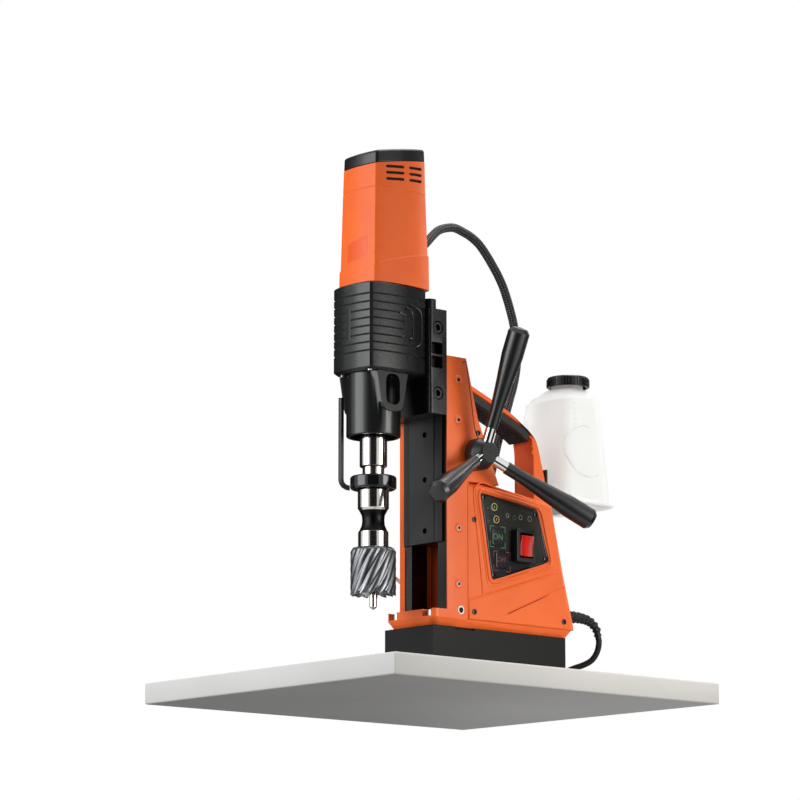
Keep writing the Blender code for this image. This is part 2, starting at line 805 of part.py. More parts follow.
ORANGE = paint("orange_enamel", (0.85, 0.16, 0.03), 0.35)
BLACK = paint("black_enamel", (0.02, 0.02, 0.022), 0.38)
RUBBER = paint("black_rubber", (0.015, 0.015, 0.016), 0.65)
CHROME = paint("polished_steel", (0.75, 0.75, 0.76), 0.12, 1.0)
STEEL = paint("ground_steel", (0.50, 0.51, 0.52), 0.3, 1.0)
BRONZE = paint("bronze", (0.45, 0.28, 0.12), 0.4, 1.0)
COPPER = paint("copper_winding", (0.55, 0.22, 0.10), 0.4, 1.0)
PANEL = paint("panel_black", (0.03, 0.032, 0.035), 0.3)
BOARD = paint("circuit_board", (0.02, 0.12, 0.05), 0.5)
GREEN = paint("green_key", (0.05, 0.35, 0.12), 0.4)
RED = paint("red_key", (0.55, 0.02, 0.02), 0.3)
BOTTLE = paint("milky_plastic", (0.80, 0.78, 0.74), 0.35)
HOSE = paint("clear_hose", (0.75, 0.73, 0.68), 0.25)

frame = pivot("frame_body")
slide = pivot("slide_body", (0, SLIDE_FACE, SLIDE_BOTTOM))
spindle_axis = pivot("spindle_axis", (0, SPINDLE_Y, NOSE_Z))
pilot_axis = pivot("pilot_axis", (0, SPINDLE_Y, CUTTER_Z))
armature_axis = pivot("armature_axis", (0, MOTOR_Y, MOTOR_Z))
idler_axis = pivot("idler_axis", (IDLER_AT.x, IDLER_AT.y, LOW_GEAR_Z))
capstan_axis = pivot("capstan_axis", (HUB_X, PINION_Y, PINION_Z))
cap_axis = pivot("bottle_cap_axis")
rocker_axis = pivot("rocker_axis")


def build_magnet():
    """The steel yoke with its ring slot, and the potted coil in the slot."""
    slot = rectangle(MAGNET_WIDTH - 2 * POLE_WALL, MAGNET_LENGTH - 2 * POLE_WALL)
    corner = COIL_WIDTH

    def coil_ring(shrink, low, high):
        outer = rounded(inset(slot, shrink), corner - shrink, 4)
        inner = rounded(inset(slot, COIL_WIDTH - shrink), corner / 2, 4)
        return loft([
            raised(outer, "Z", low), raised(outer, "Z", high),
            raised(inner, "Z", high), raised(inner, "Z", low),
        ], closed=True)

    half = MAGNET_WIDTH / 2
    block = box((-half, half), (-MAGNET_LENGTH / 2, MAGNET_LENGTH / 2), (0, MAGNET_HEIGHT))
    yoke = solid("magnet_yoke", block, BLACK, frame)
    start = -MAGNET_LENGTH / 2 + NOTCH_START
    notch = box(
        (half - NOTCH_DEPTH, half + NOTCH_DEPTH), (start, start + NOTCH_LENGTH),
        (MAGNET_HEIGHT - NOTCH_DEPTH, MAGNET_HEIGHT + NOTCH_DEPTH),
    )
    thread_end = BOLT_SEAT_Z - BOLT_DEPTH - FIT
    bores = [
        rod(BOLT_RADIUS + FIT, (x, BOLT_Y, thread_end), (x, BOLT_Y, MAGNET_HEIGHT + FIT), 16)
        for x in (-BOLT_SPREAD, BOLT_SPREAD)
    ]
    cut(yoke, coil_ring(0.0, -FIT, COIL_DEPTH), notch, merged(*bores))
    solid("magnet_coil", coil_ring(FIT, COIL_RECESS, COIL_DEPTH - FIT), COPPER, frame)


def build_frame():
    """The base flange with its sloped lip, the channelled column and the gusset plates."""
    front = -MAGNET_LENGTH / 2 + BASE_OVERHANG
    plan = [
        (-HALF_WIDTH, front), (HALF_WIDTH, front),
        (HALF_WIDTH, HOUSING_REAR), (-HALF_WIDTH, HOUSING_REAR),
    ]
    levels = ((BASE_BOTTOM, LIP_SLOPE), (LIP_TOP, 0.0), (BASE_TOP, 0.0))
    casting = solid(
        "frame_casting",
        loft([raised(rounded(inset(plan, shrink), BASE_CORNER), "Z", z) for z, shrink in levels]),
        ORANGE, frame,
    )
    bevel_x, bevel_y = COLUMN_BEVEL
    rebate = RAIL_BACK + FIT
    channel = [
        (-HALF_WIDTH + bevel_x, COLUMN_FRONT), (LEFT_INNER, COLUMN_FRONT),
        (LEFT_INNER, SEAM), (RIGHT_INNER, SEAM), (RIGHT_INNER, rebate),
        (RIGHT_LIP_INNER, rebate), (RIGHT_LIP_INNER, COLUMN_FRONT),
        (HALF_WIDTH - bevel_x / 2, COLUMN_FRONT), (HALF_WIDTH, COLUMN_FRONT + bevel_y),
        (HALF_WIDTH, WEB_BACK), (-HALF_WIDTH, WEB_BACK), (-HALF_WIDTH, COLUMN_FRONT + bevel_y),
    ]
    join(casting, prism(channel, "Z", LIP_TOP, COLUMN_TOP))
    foot = HOUSING_TOP + FIT
    gusset = [
        (SEAM - WEB_THICKNESS, foot), (SEAM + GUSSET_FOOT, foot),
        (SEAM + GUSSET_KNEE[0], BASE_TOP + GUSSET_KNEE[1]), (SEAM, COLUMN_TOP),
        (SEAM - WEB_THICKNESS, COLUMN_TOP),
    ]
    join(
        casting,
        prism(gusset, "X", RIGHT_INNER, HALF_WIDTH),
        prism(gusset, "X", -HALF_WIDTH, LEFT_INNER),
    )
    knee_y = SEAM + GUSSET_KNEE[0]
    knee_z = BASE_TOP + GUSSET_KNEE[1] - 2 * FIT
    join(casting, prism([
        (SEAM + GUSSET_FOOT - BACK_WALL, foot), (SEAM + GUSSET_FOOT, foot),
        (knee_y, knee_z), (knee_y - BACK_WALL, knee_z),
    ], "X", LEFT_INNER - BACK_WALL, RIGHT_INNER + BACK_WALL))
    over = COLUMN_TOP + COLUMN_BEVEL[1]
    cut(casting, prism([
        (SEAM - COLUMN_LEAN, COLUMN_TOP), (knee_y - FIT, knee_z + FIT),
        (SEAM + GUSSET_FOOT, knee_z + FIT), (SEAM + GUSSET_FOOT, over), (SEAM - COLUMN_LEAN, over),
    ], "X", -COLUMN_WIDTH, COLUMN_WIDTH))
    inner = HOUSING_HALF - COVER_WALL - FIT
    far = HALF_WIDTH + HOUSING_DEPTH
    back = HOUSING_REAR - COVER_WALL - FIT
    rabbet = [
        (-far, SEAM), (-inner, SEAM), (-inner, back), (inner, back),
        (inner, SEAM), (far, SEAM), (far, far), (-far, far),
    ]
    cut(casting, prism(rabbet, "Z", LIP_TOP, foot))
    window = FEED_RADIUS + 3 * FEED_MODULE
    cut(casting, box(
        (-PINION_FACE / 2 - 2 * BUSH_WALL, PINION_FACE / 2 + 2 * BUSH_WALL),
        (SEAM - FIT, WEB_BACK + FIT), (PINION_Z - window, PINION_Z + window),
    ))
    reach = HALF_WIDTH + FIT
    cut(casting, rod(BUSH_RADIUS + FIT, (0, PINION_Y, PINION_Z), (reach, PINION_Y, PINION_Z), 24))
    cut(casting, rod(SHAFT_RADIUS + RUN, (-reach, PINION_Y, PINION_Z), (0, PINION_Y, PINION_Z), 24))
    half = BOLT_NOTCH / 2
    notches = []
    for x in (-BOLT_SPREAD, BOLT_SPREAD):
        notches.append(box(
            (x - half, x + half), (front - BOLT_NOTCH, COLUMN_FRONT - FIT),
            (BOLT_SEAT_Z, BASE_TOP + BOLT_NOTCH),
        ))
        cut(casting, rod(
            BOLT_RADIUS + FIT, (x, BOLT_Y, BASE_BOTTOM - FIT), (x, BOLT_Y, BOLT_SEAT_Z + FIT), 16,
        ))
    cut(casting, merged(*notches))


def build_bolts():
    """The two cap screws that hold the frame's front to the magnet."""
    for side, x in (("left", -BOLT_SPREAD), ("right", BOLT_SPREAD)):
        seat = BOLT_SEAT_Z + FIT
        profile = [
            (0, seat - BOLT_DEPTH), (BOLT_RADIUS, seat - BOLT_DEPTH), (BOLT_RADIUS, seat),
            (BOLT_HEAD_RADIUS, seat), (BOLT_HEAD_RADIUS, seat + BOLT_HEAD_HEIGHT),
            (BOLT_RADIUS * 0.8, seat + BOLT_HEAD_HEIGHT),
            (BOLT_RADIUS * 0.8, seat + BOLT_HEAD_HEIGHT * 0.5), (0, seat + BOLT_HEAD_HEIGHT * 0.5),
        ]
        solid(f"magnet_bolt_{side}", aimed(turned(profile, 12), (x, BOLT_Y, 0)), CHROME, frame)


def build_ways():
    """The two way rails: a flange in front of the slide's tee and a leg along the wall."""
    back = SEAM - FIT
    left = [
        (LEFT_INNER + FIT, RAIL_FRONT), (LEFT_RAIL_EDGE, RAIL_FRONT), (LEFT_RAIL_EDGE, RAIL_BACK),
        (LEFT_LEG_EDGE, RAIL_BACK), (LEFT_LEG_EDGE, back), (LEFT_INNER + FIT, back),
    ]
    right = [
        (RIGHT_LIP_INNER - FIT, RAIL_FRONT), (RIGHT_LIP_INNER - FIT, RAIL_BACK),
        (RIGHT_INNER - FIT, RAIL_BACK), (RIGHT_INNER - FIT, back), (RIGHT_LEG_EDGE, back),
        (RIGHT_LEG_EDGE, RAIL_BACK), (RIGHT_RAIL_EDGE, RAIL_BACK), (RIGHT_RAIL_EDGE, RAIL_FRONT),
    ]
    for side, outline in (("left", left), ("right", right)):
        solid(f"way_rail_{side}", prism(outline, "Z", BASE_TOP + FIT, COLUMN_TOP), BLACK, frame)


def build_slide():
    """The slide bar with its front plate, neck and tee, and the rack let into its back."""
    neck_left = LEFT_RAIL_EDGE + RUN
    neck_right = RIGHT_RAIL_EDGE - RUN
    tee_left = LEFT_LEG_EDGE + RUN
    tee_right = RIGHT_LEG_EDGE - RUN
    plate_back = RAIL_FRONT - FIT
    tee_front = RAIL_BACK + FIT
    low = SLIDE_FACE + SLIDE_RIDGE
    plate = [
        (SLIDE_LEFT, low), (-SLIDE_RIDGE_HALF, low), (-SLIDE_RIDGE_HALF, SLIDE_FACE),
        (SLIDE_RIDGE_HALF, SLIDE_FACE), (SLIDE_RIDGE_HALF, low), (SLIDE_RIGHT, low),
        (SLIDE_RIGHT, plate_back), (SLIDE_LEFT, plate_back),
    ]
    sunk = plate_back - SLIDE_PLATE / 3
    tee = [
        (neck_left, sunk), (neck_right, sunk), (neck_right, tee_front), (tee_right, tee_front),
        (tee_right, SLIDE_BACK), (tee_left, SLIDE_BACK), (tee_left, tee_front), (neck_left, tee_front),
    ]
    bar = solid("slide_bar", prism(plate, "Z", SLIDE_BOTTOM, SLIDE_TOP), BLACK, slide)
    join(bar, prism(tee, "Z", SLIDE_BOTTOM + FIT, TEE_TOP))
    groove = RACK_WIDTH / 2 + FIT
    cut(bar, box(
        (-groove, groove), (RACK_FLOOR - FIT, SLIDE_BACK + FIT), (SLIDE_BOTTOM - FIT, TEE_TOP + FIT),
    ))
    depth = SLIDE_FACE + SLIDE_RIDGE + SLIDE_PLATE
    cut(bar, merged(*[
        rod(SLIDE_HOLE_RADIUS, (SLIDE_HOLE_X, SLIDE_FACE - FIT, z), (SLIDE_HOLE_X, depth, z), 12)
        for z in (SLIDE_BOTTOM + height for height in SLIDE_HOLES)
    ]))
    pitch = math.pi * FEED_MODULE
    tip = RACK_PITCH_LINE + 0.95 * FEED_MODULE
    root = RACK_PITCH_LINE - 1.2 * FEED_MODULE
    half = pitch / 4 - FEED_BACKLASH / 2
    slope = math.tan(PRESSURE_ANGLE)
    low_z = SLIDE_BOTTOM + 2 * FIT
    high_z = PINION_Z + FEED_DOWN + RACK_SPARE
    outline = [(RACK_FLOOR, low_z), (root, low_z)]
    k = math.ceil((low_z - PINION_Z) / pitch)
    while PINION_Z + (k + 1.5) * pitch < high_z:
        middle = PINION_Z + (k + 0.5) * pitch
        if middle - pitch > low_z - pitch / 3:
            outline += [
                (root, middle - half - 1.2 * FEED_MODULE * slope),
                (tip, middle - half + 0.95 * FEED_MODULE * slope),
                (tip, middle + half - 0.95 * FEED_MODULE * slope),
                (root, middle + half + 1.2 * FEED_MODULE * slope),
            ]
        k += 1
    outline += [(root, high_z), (RACK_FLOOR, high_z)]
    solid("rack", prism(outline, "X", -RACK_WIDTH / 2, RACK_WIDTH / 2), STEEL, slide)


def build_capstan():
    """The pinion on its shaft, the bushes, the hub and the three arms with their grips."""
    left = -HALF_WIDTH + RUN
    end = HUB_X + HUB_BORE_DEPTH - FIT
    bar = rod(SHAFT_RADIUS, (left, PINION_Y, PINION_Z), (end, PINION_Y, PINION_Z), 24)
    shaft = solid("pinion_shaft", bar, STEEL, capstan_axis)
    teeth = [
        (PINION_Y + y, PINION_Z + z)
        for y, z in gear_outline(FEED_TEETH, FEED_MODULE, FEED_BACKLASH, math.pi, fine=False)
    ]
    join(shaft, prism(teeth, "X", -PINION_FACE / 2, PINION_FACE / 2))
    sleeve = ring(SHAFT_RADIUS + RUN, BUSH_RADIUS, 0, HALF_WIDTH - RIGHT_INNER, (0, 0), 24)
    solid("feed_bush", aimed(sleeve, (RIGHT_INNER, PINION_Y, PINION_Z), (1, 0, 0)), BRONZE, frame)
    bore = SHAFT_RADIUS + FIT
    profile = [
        (0, HUB_BORE_DEPTH), (bore, HUB_BORE_DEPTH), (bore, 0), (HUB_RADIUS, 0),
        (HUB_RADIUS, HUB_LENGTH * 0.45), (HUB_RADIUS * 0.93, HUB_LENGTH * 0.6),
        (HUB_FACE_RADIUS, HUB_LENGTH * 0.96), (HUB_FACE_RADIUS * 0.93, HUB_LENGTH), (0, HUB_LENGTH),
    ]
    hub = solid(
        "capstan_hub", aimed(turned(profile, 28), (HUB_X, PINION_Y, PINION_Z), (1, 0, 0)),
        BLACK, capstan_axis,
    )
    centre = Vector((HUB_X + ARM_OFFSET, PINION_Y, PINION_Z))
    sockets = []
    for number, degrees in enumerate(ARM_ANGLES, start=1):
        spread = math.radians(degrees)
        way = Vector((
            math.sin(ARM_TILT), math.cos(ARM_TILT) * math.cos(spread),
            math.cos(ARM_TILT) * math.sin(spread),
        ))
        socket_end = centre + way * HUB_RADIUS * 2
        sockets.append(rod(ROD_RADIUS + FIT, centre + way * (ARM_START - FIT), socket_end))
        solid(
            f"arm_rod_{number}", rod(ROD_RADIUS, centre + way * ARM_START, centre + way * ROD_LENGTH),
            CHROME, capstan_axis,
        )
        bore = ROD_RADIUS + FIT
        span = GRIP_END - GRIP_START
        shape = [
            (bore, GRIP_START), (GRIP_NECK, GRIP_START), (GRIP_NECK, GRIP_START + 0.18 * span),
            (GRIP_NECK + 0.45 * (GRIP_SWELL - GRIP_NECK), GRIP_START + 0.45 * span),
            (GRIP_SWELL, GRIP_START + 0.72 * span), (GRIP_SWELL, GRIP_END - GRIP_DOME),
            (GRIP_SWELL * 0.72, GRIP_END - 0.25 * GRIP_DOME), (0, GRIP_END),
        ]
        hollow = [(0, ROD_LENGTH + FIT), (bore, ROD_LENGTH + FIT)]
        section = list(reversed(shape)) + list(reversed(hollow))
        solid(f"arm_grip_{number}", aimed(turned(section, 16), centre, way), RUBBER, capstan_axis)
    cut(hub, merged(*sockets))


def housing_outline():
    """The side view of the housing behind the column, as (y, z)."""
    low = LIP_TOP + FIT
    front = SEAM + FIT
    knee = BASE_TOP + (HOUSING_TOP - BASE_TOP) * 0.38
    return [
        (front, low), (HOUSING_REAR, low), (HOUSING_REAR, BASE_TOP),
        (SEAM + HOUSING_KNEE, knee), (SEAM + HOUSING_CREST, HOUSING_TOP - 0.08 * COVER_TOP),
        (SEAM + GUSSET_FOOT, HOUSING_TOP), (front, HOUSING_TOP),
    ]


def cover_shell(side, name):
    """One half of the housing: a plate with its top and rear walls, open towards the spine."""
    outline = housing_outline()
    inner = side * (SPINE_HALF + FIT)
    outer = side * HOUSING_HALF
    bm = prism(outline, "X", inner, outer)
    edges = [
        edge for edge in bm.edges
        if all(abs(v.co.x - outer) < FIT for v in edge.verts)
        and all(v.co.z > LIP_TOP + 2 * FIT for v in edge.verts)
        and any(v.co.y > SEAM + 2 * FIT for v in edge.verts)
    ]
    bmesh.ops.bevel(bm, geom=edges, offset=COVER_EDGE, segments=3, profile=0.5, affect="EDGES", material=-1)
    cover = solid(name, bm, ORANGE, frame)
    hollow = inset(outline, COVER_WALL)
    away = HOUSING_DEPTH
    hollow[0] = (hollow[0][0] - away, hollow[0][1] - away)
    hollow[1] = (hollow[1][0], hollow[1][1] - away)
    hollow[-1] = (hollow[-1][0] - away, hollow[-1][1])
    skin = outer - side * COVER_WALL
    cut(cover, prism(hollow, "X", inner - side * FIT, skin))
    low, high = sorted((inner - side * FIT, skin))
    cut(cover, box((low, high), (SEAM, WEB_BACK + FIT), (LIP_TOP, HOUSING_TOP + COVER_WALL)))
    return cover


def skirt_outline():
    """The raised lower skirt of a cover, below its crease."""
    low = LIP_TOP + FIT
    crease = BASE_TOP + SKIRT_CREASE[0]
    return [
        (SEAM + FIT, low), (HOUSING_REAR - COVER_EDGE, low), (HOUSING_REAR - COVER_EDGE, BASE_TOP),
        (SEAM + HOUSING_KNEE - COVER_EDGE, crease + SKIRT_CREASE[2]),
        (SEAM + SKIRT_CREASE[1], crease), (SEAM + FIT, crease - SKIRT_CREASE[3]),
    ]


def panel_outline():
    """The panel's corners in world (y, z)."""
    return [(SEAM + y, BASE_TOP + z) for y, z in PANEL_CORNERS]


def build_housing():
    """The two side covers, with the bezel and the window for the panel on the right one."""
    skirt = skirt_outline()
    for side, name in ((-1, "side_cover_left"), (1, "side_cover_right")):
        cover = cover_shell(side, name)
        outer = side * HOUSING_HALF
        crown = side * (HOUSING_HALF + SKIRT_RISE)
        sunk = outer - side * COVER_WALL / 2
        join(cover, loft([
            raised(skirt, "X", sunk), raised(skirt, "X", outer),
            raised(inset(skirt, SKIRT_RISE), "X", crown),
        ]))
        width, depth = GROOVE_SIZE
        (near_y, near_z), (far_y, far_z) = SKIRT_GROOVE
        groove = [
            (SEAM + near_y, BASE_TOP + near_z), (SEAM + far_y, BASE_TOP + far_z),
            (SEAM + far_y, BASE_TOP + far_z + width), (SEAM + near_y, BASE_TOP + near_z + width),
        ]
        cut(cover, prism(groove, "X", crown - side * depth, crown + side * depth))
    corners = panel_outline()
    bezel = rounded(inset(corners, -BEZEL_MARGIN), 2 * PANEL_CORNER)
    slope = rounded(inset(corners, -BEZEL_MARGIN - BEZEL_RISE), 2 * PANEL_CORNER)
    crown = HOUSING_HALF + BEZEL_RISE
    join(cover, loft([
        raised(slope, "X", HOUSING_HALF - COVER_WALL / 2), raised(slope, "X", HOUSING_HALF),
        raised(bezel, "X", crown),
    ]))
    cut(
        cover,
        prism(rounded(inset(corners, -FIT), PANEL_CORNER), "X", PANEL_BACK - FIT, crown + FIT),
        prism(
            rounded(inset(corners, PANEL_LEDGE), PANEL_CORNER), "X",
            HOUSING_HALF - 2 * COVER_WALL, crown,
        ),
    )


def on_panel(spot):
    """A place on the panel in world (y, z)."""
    return SEAM + spot[0], BASE_TOP + spot[1]


def build_panel():
    """The panel plate with its posts, the circuit board, the keys, the switch bezel and the rocker."""
    plate = solid(
        "control_panel", prism(rounded(panel_outline(), PANEL_CORNER), "X", PANEL_BACK, PANEL_FACE),
        PANEL, frame,
    )
    board_face = PANEL_BACK - BOARD_STANDOFF
    board = rectangle(*BOARD_SIZE, on_panel(BOARD_AT))
    solid("circuit_board", prism(board, "X", board_face - BOARD_THICKNESS, board_face), BOARD, frame)
    for spot in inset(board, 2 * POST_RADIUS):
        join(plate, rod(
            POST_RADIUS, (board_face + FIT, *spot), (PANEL_BACK + PANEL_THICKNESS / 2, *spot), 8,
        ))
    keys = {
        "on_key": (rounded(rectangle(*PAD_KEY, on_panel(ON_KEY)), 0.003), GREEN),
        "off_key": (rounded(rectangle(*PAD_KEY, on_panel(OFF_KEY)), 0.003), RED),
        "mode_key": (circle(ROUND_KEY_RADIUS, on_panel(MODE_KEY)), PANEL),
        "speed_key": (circle(ROUND_KEY_RADIUS, on_panel(SPEED_KEY)), PANEL),
    }
    for name, (outline, finish) in keys.items():
        cut(plate, prism(inset(outline, -RUN), "X", PANEL_BACK - FIT, PANEL_FACE + FIT))
        flange = inset(outline, -KEY_FLANGE_MARGIN)
        back = PANEL_BACK - FIT
        middle = sum((Vector(point) for point in outline), Vector((0, 0))) / len(outline)
        axis = pivot(f"{name}_axis", (PANEL_FACE, middle.x, middle.y))
        solid(name, loft([
            raised(flange, "X", back - KEY_FLANGE), raised(flange, "X", back),
            raised(outline, "X", back), raised(outline, "X", PANEL_FACE + KEY_RISE * 0.6),
            raised(inset(outline, KEY_RISE * 0.85), "X", PANEL_FACE + KEY_RISE),
        ]), finish, axis)
    centre = on_panel(SWITCH_AT)
    outer = rounded(rectangle(*SWITCH_SIZE, centre), 0.003)
    body = inset(rectangle(*SWITCH_SIZE, centre), SWITCH_RIM)
    well = inset(body, 0.0014)
    cut(plate, prism(inset(body, -FIT), "X", PANEL_BACK - FIT, PANEL_FACE + FIT))
    rim = solid(
        "switch_bezel", prism(outer, "X", PANEL_FACE + FIT, PANEL_FACE + SWITCH_RISE), BLACK, frame,
    )
    join(rim, prism(body, "X", PANEL_FACE - SWITCH_BODY_DEPTH, PANEL_FACE + SWITCH_RISE / 2))
    floor = PANEL_FACE - SWITCH_BODY_DEPTH * 0.5
    cut(rim, prism(well, "X", floor, PANEL_FACE + SWITCH_RISE + FIT))
    width = well[1][0] - well[0][0]
    height = well[2][1] - well[1][1]
    rocker_axis.location = (PANEL_FACE + SWITCH_RISE - ROCKER_THICKNESS * 0.35, centre[0], centre[1])
    half = height / 2 - 3.5 * ROCKER_CLEAR
    crest = ROCKER_THICKNESS * 0.55
    side = [
        (-ROCKER_THICKNESS, -half * 0.62), (-ROCKER_THICKNESS, half * 0.62),
        (-crest * 0.2, half), (crest, half * 0.96), (crest * 0.62, 0), (crest, -half * 0.96),
        (-crest * 0.2, -half),
    ]
    lean = Matrix.Rotation(ROCKER_LEAN, 3, "Y")
    rows = []
    for y in around(0.0, width - 2 * ROCKER_CLEAR):
        rows.append([Vector(rocker_axis.location) + lean @ Vector((x, y, z)) for x, z in side])
    solid("rocker", loft(rows), RED, rocker_axis)


def handle_lines():
    """The handle's outer line from the column to the base, and the level where the leg begins."""
    top = BASE_TOP
    rise_y, rise_z = HANDLE_RISE
    crest_y, crest_z = HANDLE_CREST
    slope = (crest_z - rise_z) / (crest_y - rise_y)
    front_z = rise_z + slope * (BAR_FRONT - SEAM - rise_y)
    leg = SEAM + HOUSING_CREST + SPINE_STEP + 0.0145
    return {
        "front": (BAR_FRONT, top + front_z),
        "crest": (SEAM + crest_y, top + crest_z),
        "shoulder": (leg - 0.017, top + crest_z - HANDLE_BEND * 0.5),
        "leg_top": (leg, top + LEG_TOP),
        "leg_foot": (leg + 0.004, top + 0.085),
        "knee": (SEAM + HOUSING_KNEE + SPINE_STEP, top + 0.055),
        "foot": (HOUSING_REAR + SPINE_STEP, top + FIT),
        "slope": slope,
    }


def build_handle():
    """The handle casting: root, top bar, rear leg and the spine between the covers, and the grip insert."""
    line = handle_lines()
    front_y, front_z = line["front"]
    slope = line["slope"]
    root_end = front_y + 0.019
    drop = HANDLE_BAR * math.sqrt(1 + slope ** 2)
    root_z = front_z - 0.053

    def bar_z(y, depth):
        return front_z + slope * (y - front_y) - depth

    leg_in = line["leg_top"][0] - HANDLE_LEG
    under = [
        (root_end, bar_z(root_end, drop)),
        (line["crest"][0] - 0.006, bar_z(line["crest"][0] - 0.006, drop)),
        (leg_in - 0.004, line["shoulder"][1] + 0.004),
        (leg_in, line["shoulder"][1] - 0.016),
    ]
    outline = [
        (front_y, root_z), (root_end, root_z), *under,
        (leg_in, BASE_TOP + 0.100),
        (line["knee"][0] - SPINE_WALL, line["knee"][1]),
        (line["foot"][0] - SPINE_WALL, line["foot"][1]),
        line["foot"], line["knee"], line["leg_foot"], line["leg_top"], line["shoulder"],
        line["crest"], line["front"],
    ]
    setbacks = [
        0, 0.003, 0.002, 0.010, 0.008, 0.006, 0.010, 0.006,
        0, 0, 0.010, 0.012, 0.018, 0.014, 0.016, 0,
    ]
    outline = rounded(outline, setbacks)
    slim = inset(outline, HANDLE_EDGE / 2)
    shoulder = SPINE_HALF - HANDLE_EDGE
    bm = loft([
        raised(slim, "X", -SPINE_HALF), raised(outline, "X", -shoulder),
        raised(outline, "X", shoulder), raised(slim, "X", SPINE_HALF),
    ])
    handle = solid("carry_handle", bm, ORANGE, frame)
    deck_end = leg_in + SPINE_WALL / 2
    fall = 0.08 * COVER_TOP * (deck_end - SEAM - GUSSET_FOOT) / (HOUSING_CREST - GUSSET_FOOT)
    deck = [
        (front_y, HOUSING_TOP), (SEAM + GUSSET_FOOT, HOUSING_TOP), (deck_end, HOUSING_TOP - fall),
        (deck_end, HOUSING_TOP - fall - COVER_WALL), (SEAM + GUSSET_FOOT, HOUSING_TOP - COVER_WALL),
        (front_y, HOUSING_TOP - COVER_WALL),
    ]
    join(handle, prism(deck, "X", -SPINE_HALF, SPINE_HALF))
    start = root_end + FIT
    end = leg_in - 0.006

    def grip_ring(x, shrink):
        thick = drop + GRIP_INSERT - shrink
        hook = bar_z(end, thick) - 0.004
        made = [
            (start, bar_z(start, drop / 2)), (start, bar_z(start, thick)),
            (end - 0.016, bar_z(end - 0.016, thick)), (end, hook),
            (end, under[2][1] + drop / 2), (under[1][0], bar_z(under[1][0], drop / 2)),
        ]
        return raised(rounded(made, [0, HANDLE_EDGE, 0.006, HANDLE_EDGE, 0, 0]), "X", x)

    bm = loft([
        grip_ring(-SPINE_HALF, HANDLE_EDGE / 2), grip_ring(-SPINE_HALF + HANDLE_EDGE / 2, 0.0),
        grip_ring(SPINE_HALF - HANDLE_EDGE / 2, 0.0), grip_ring(SPINE_HALF, HANDLE_EDGE / 2),
    ])
    insert = solid("handle_grip", bm, RUBBER, frame)
    cut(insert, prism(inset(outline, -FIT), "X", -SPINE_WIDTH, SPINE_WIDTH))


def case_rings():
    """The gear case's rings: a chamfered foot, the rib grooves and the plain top band."""
    levels = [(CASE_Z, 0.003), (CASE_Z + 0.003, 0.0)]
    grooves = [CASE_TOP - CASE_BAND - CASE_RIB_PITCH * k for k in range(CASE_RIBS + 1)]
    for z in reversed(grooves):
        levels += [(z - CASE_GROOVE / 2, 0.0), (z, CASE_GROOVE_DEPTH), (z + CASE_GROOVE / 2, 0.0)]
    levels += [(CASE_TOP - 0.002, 0.0), (CASE_TOP, 0.002)]
    return [
        raised(bowed(CASE_HALF_X - s, CASE_HALF_Y - s, CASE_BULGE, (0, CASE_Y), CASE_CORNER), "Z", z)
        for z, s in levels
    ]


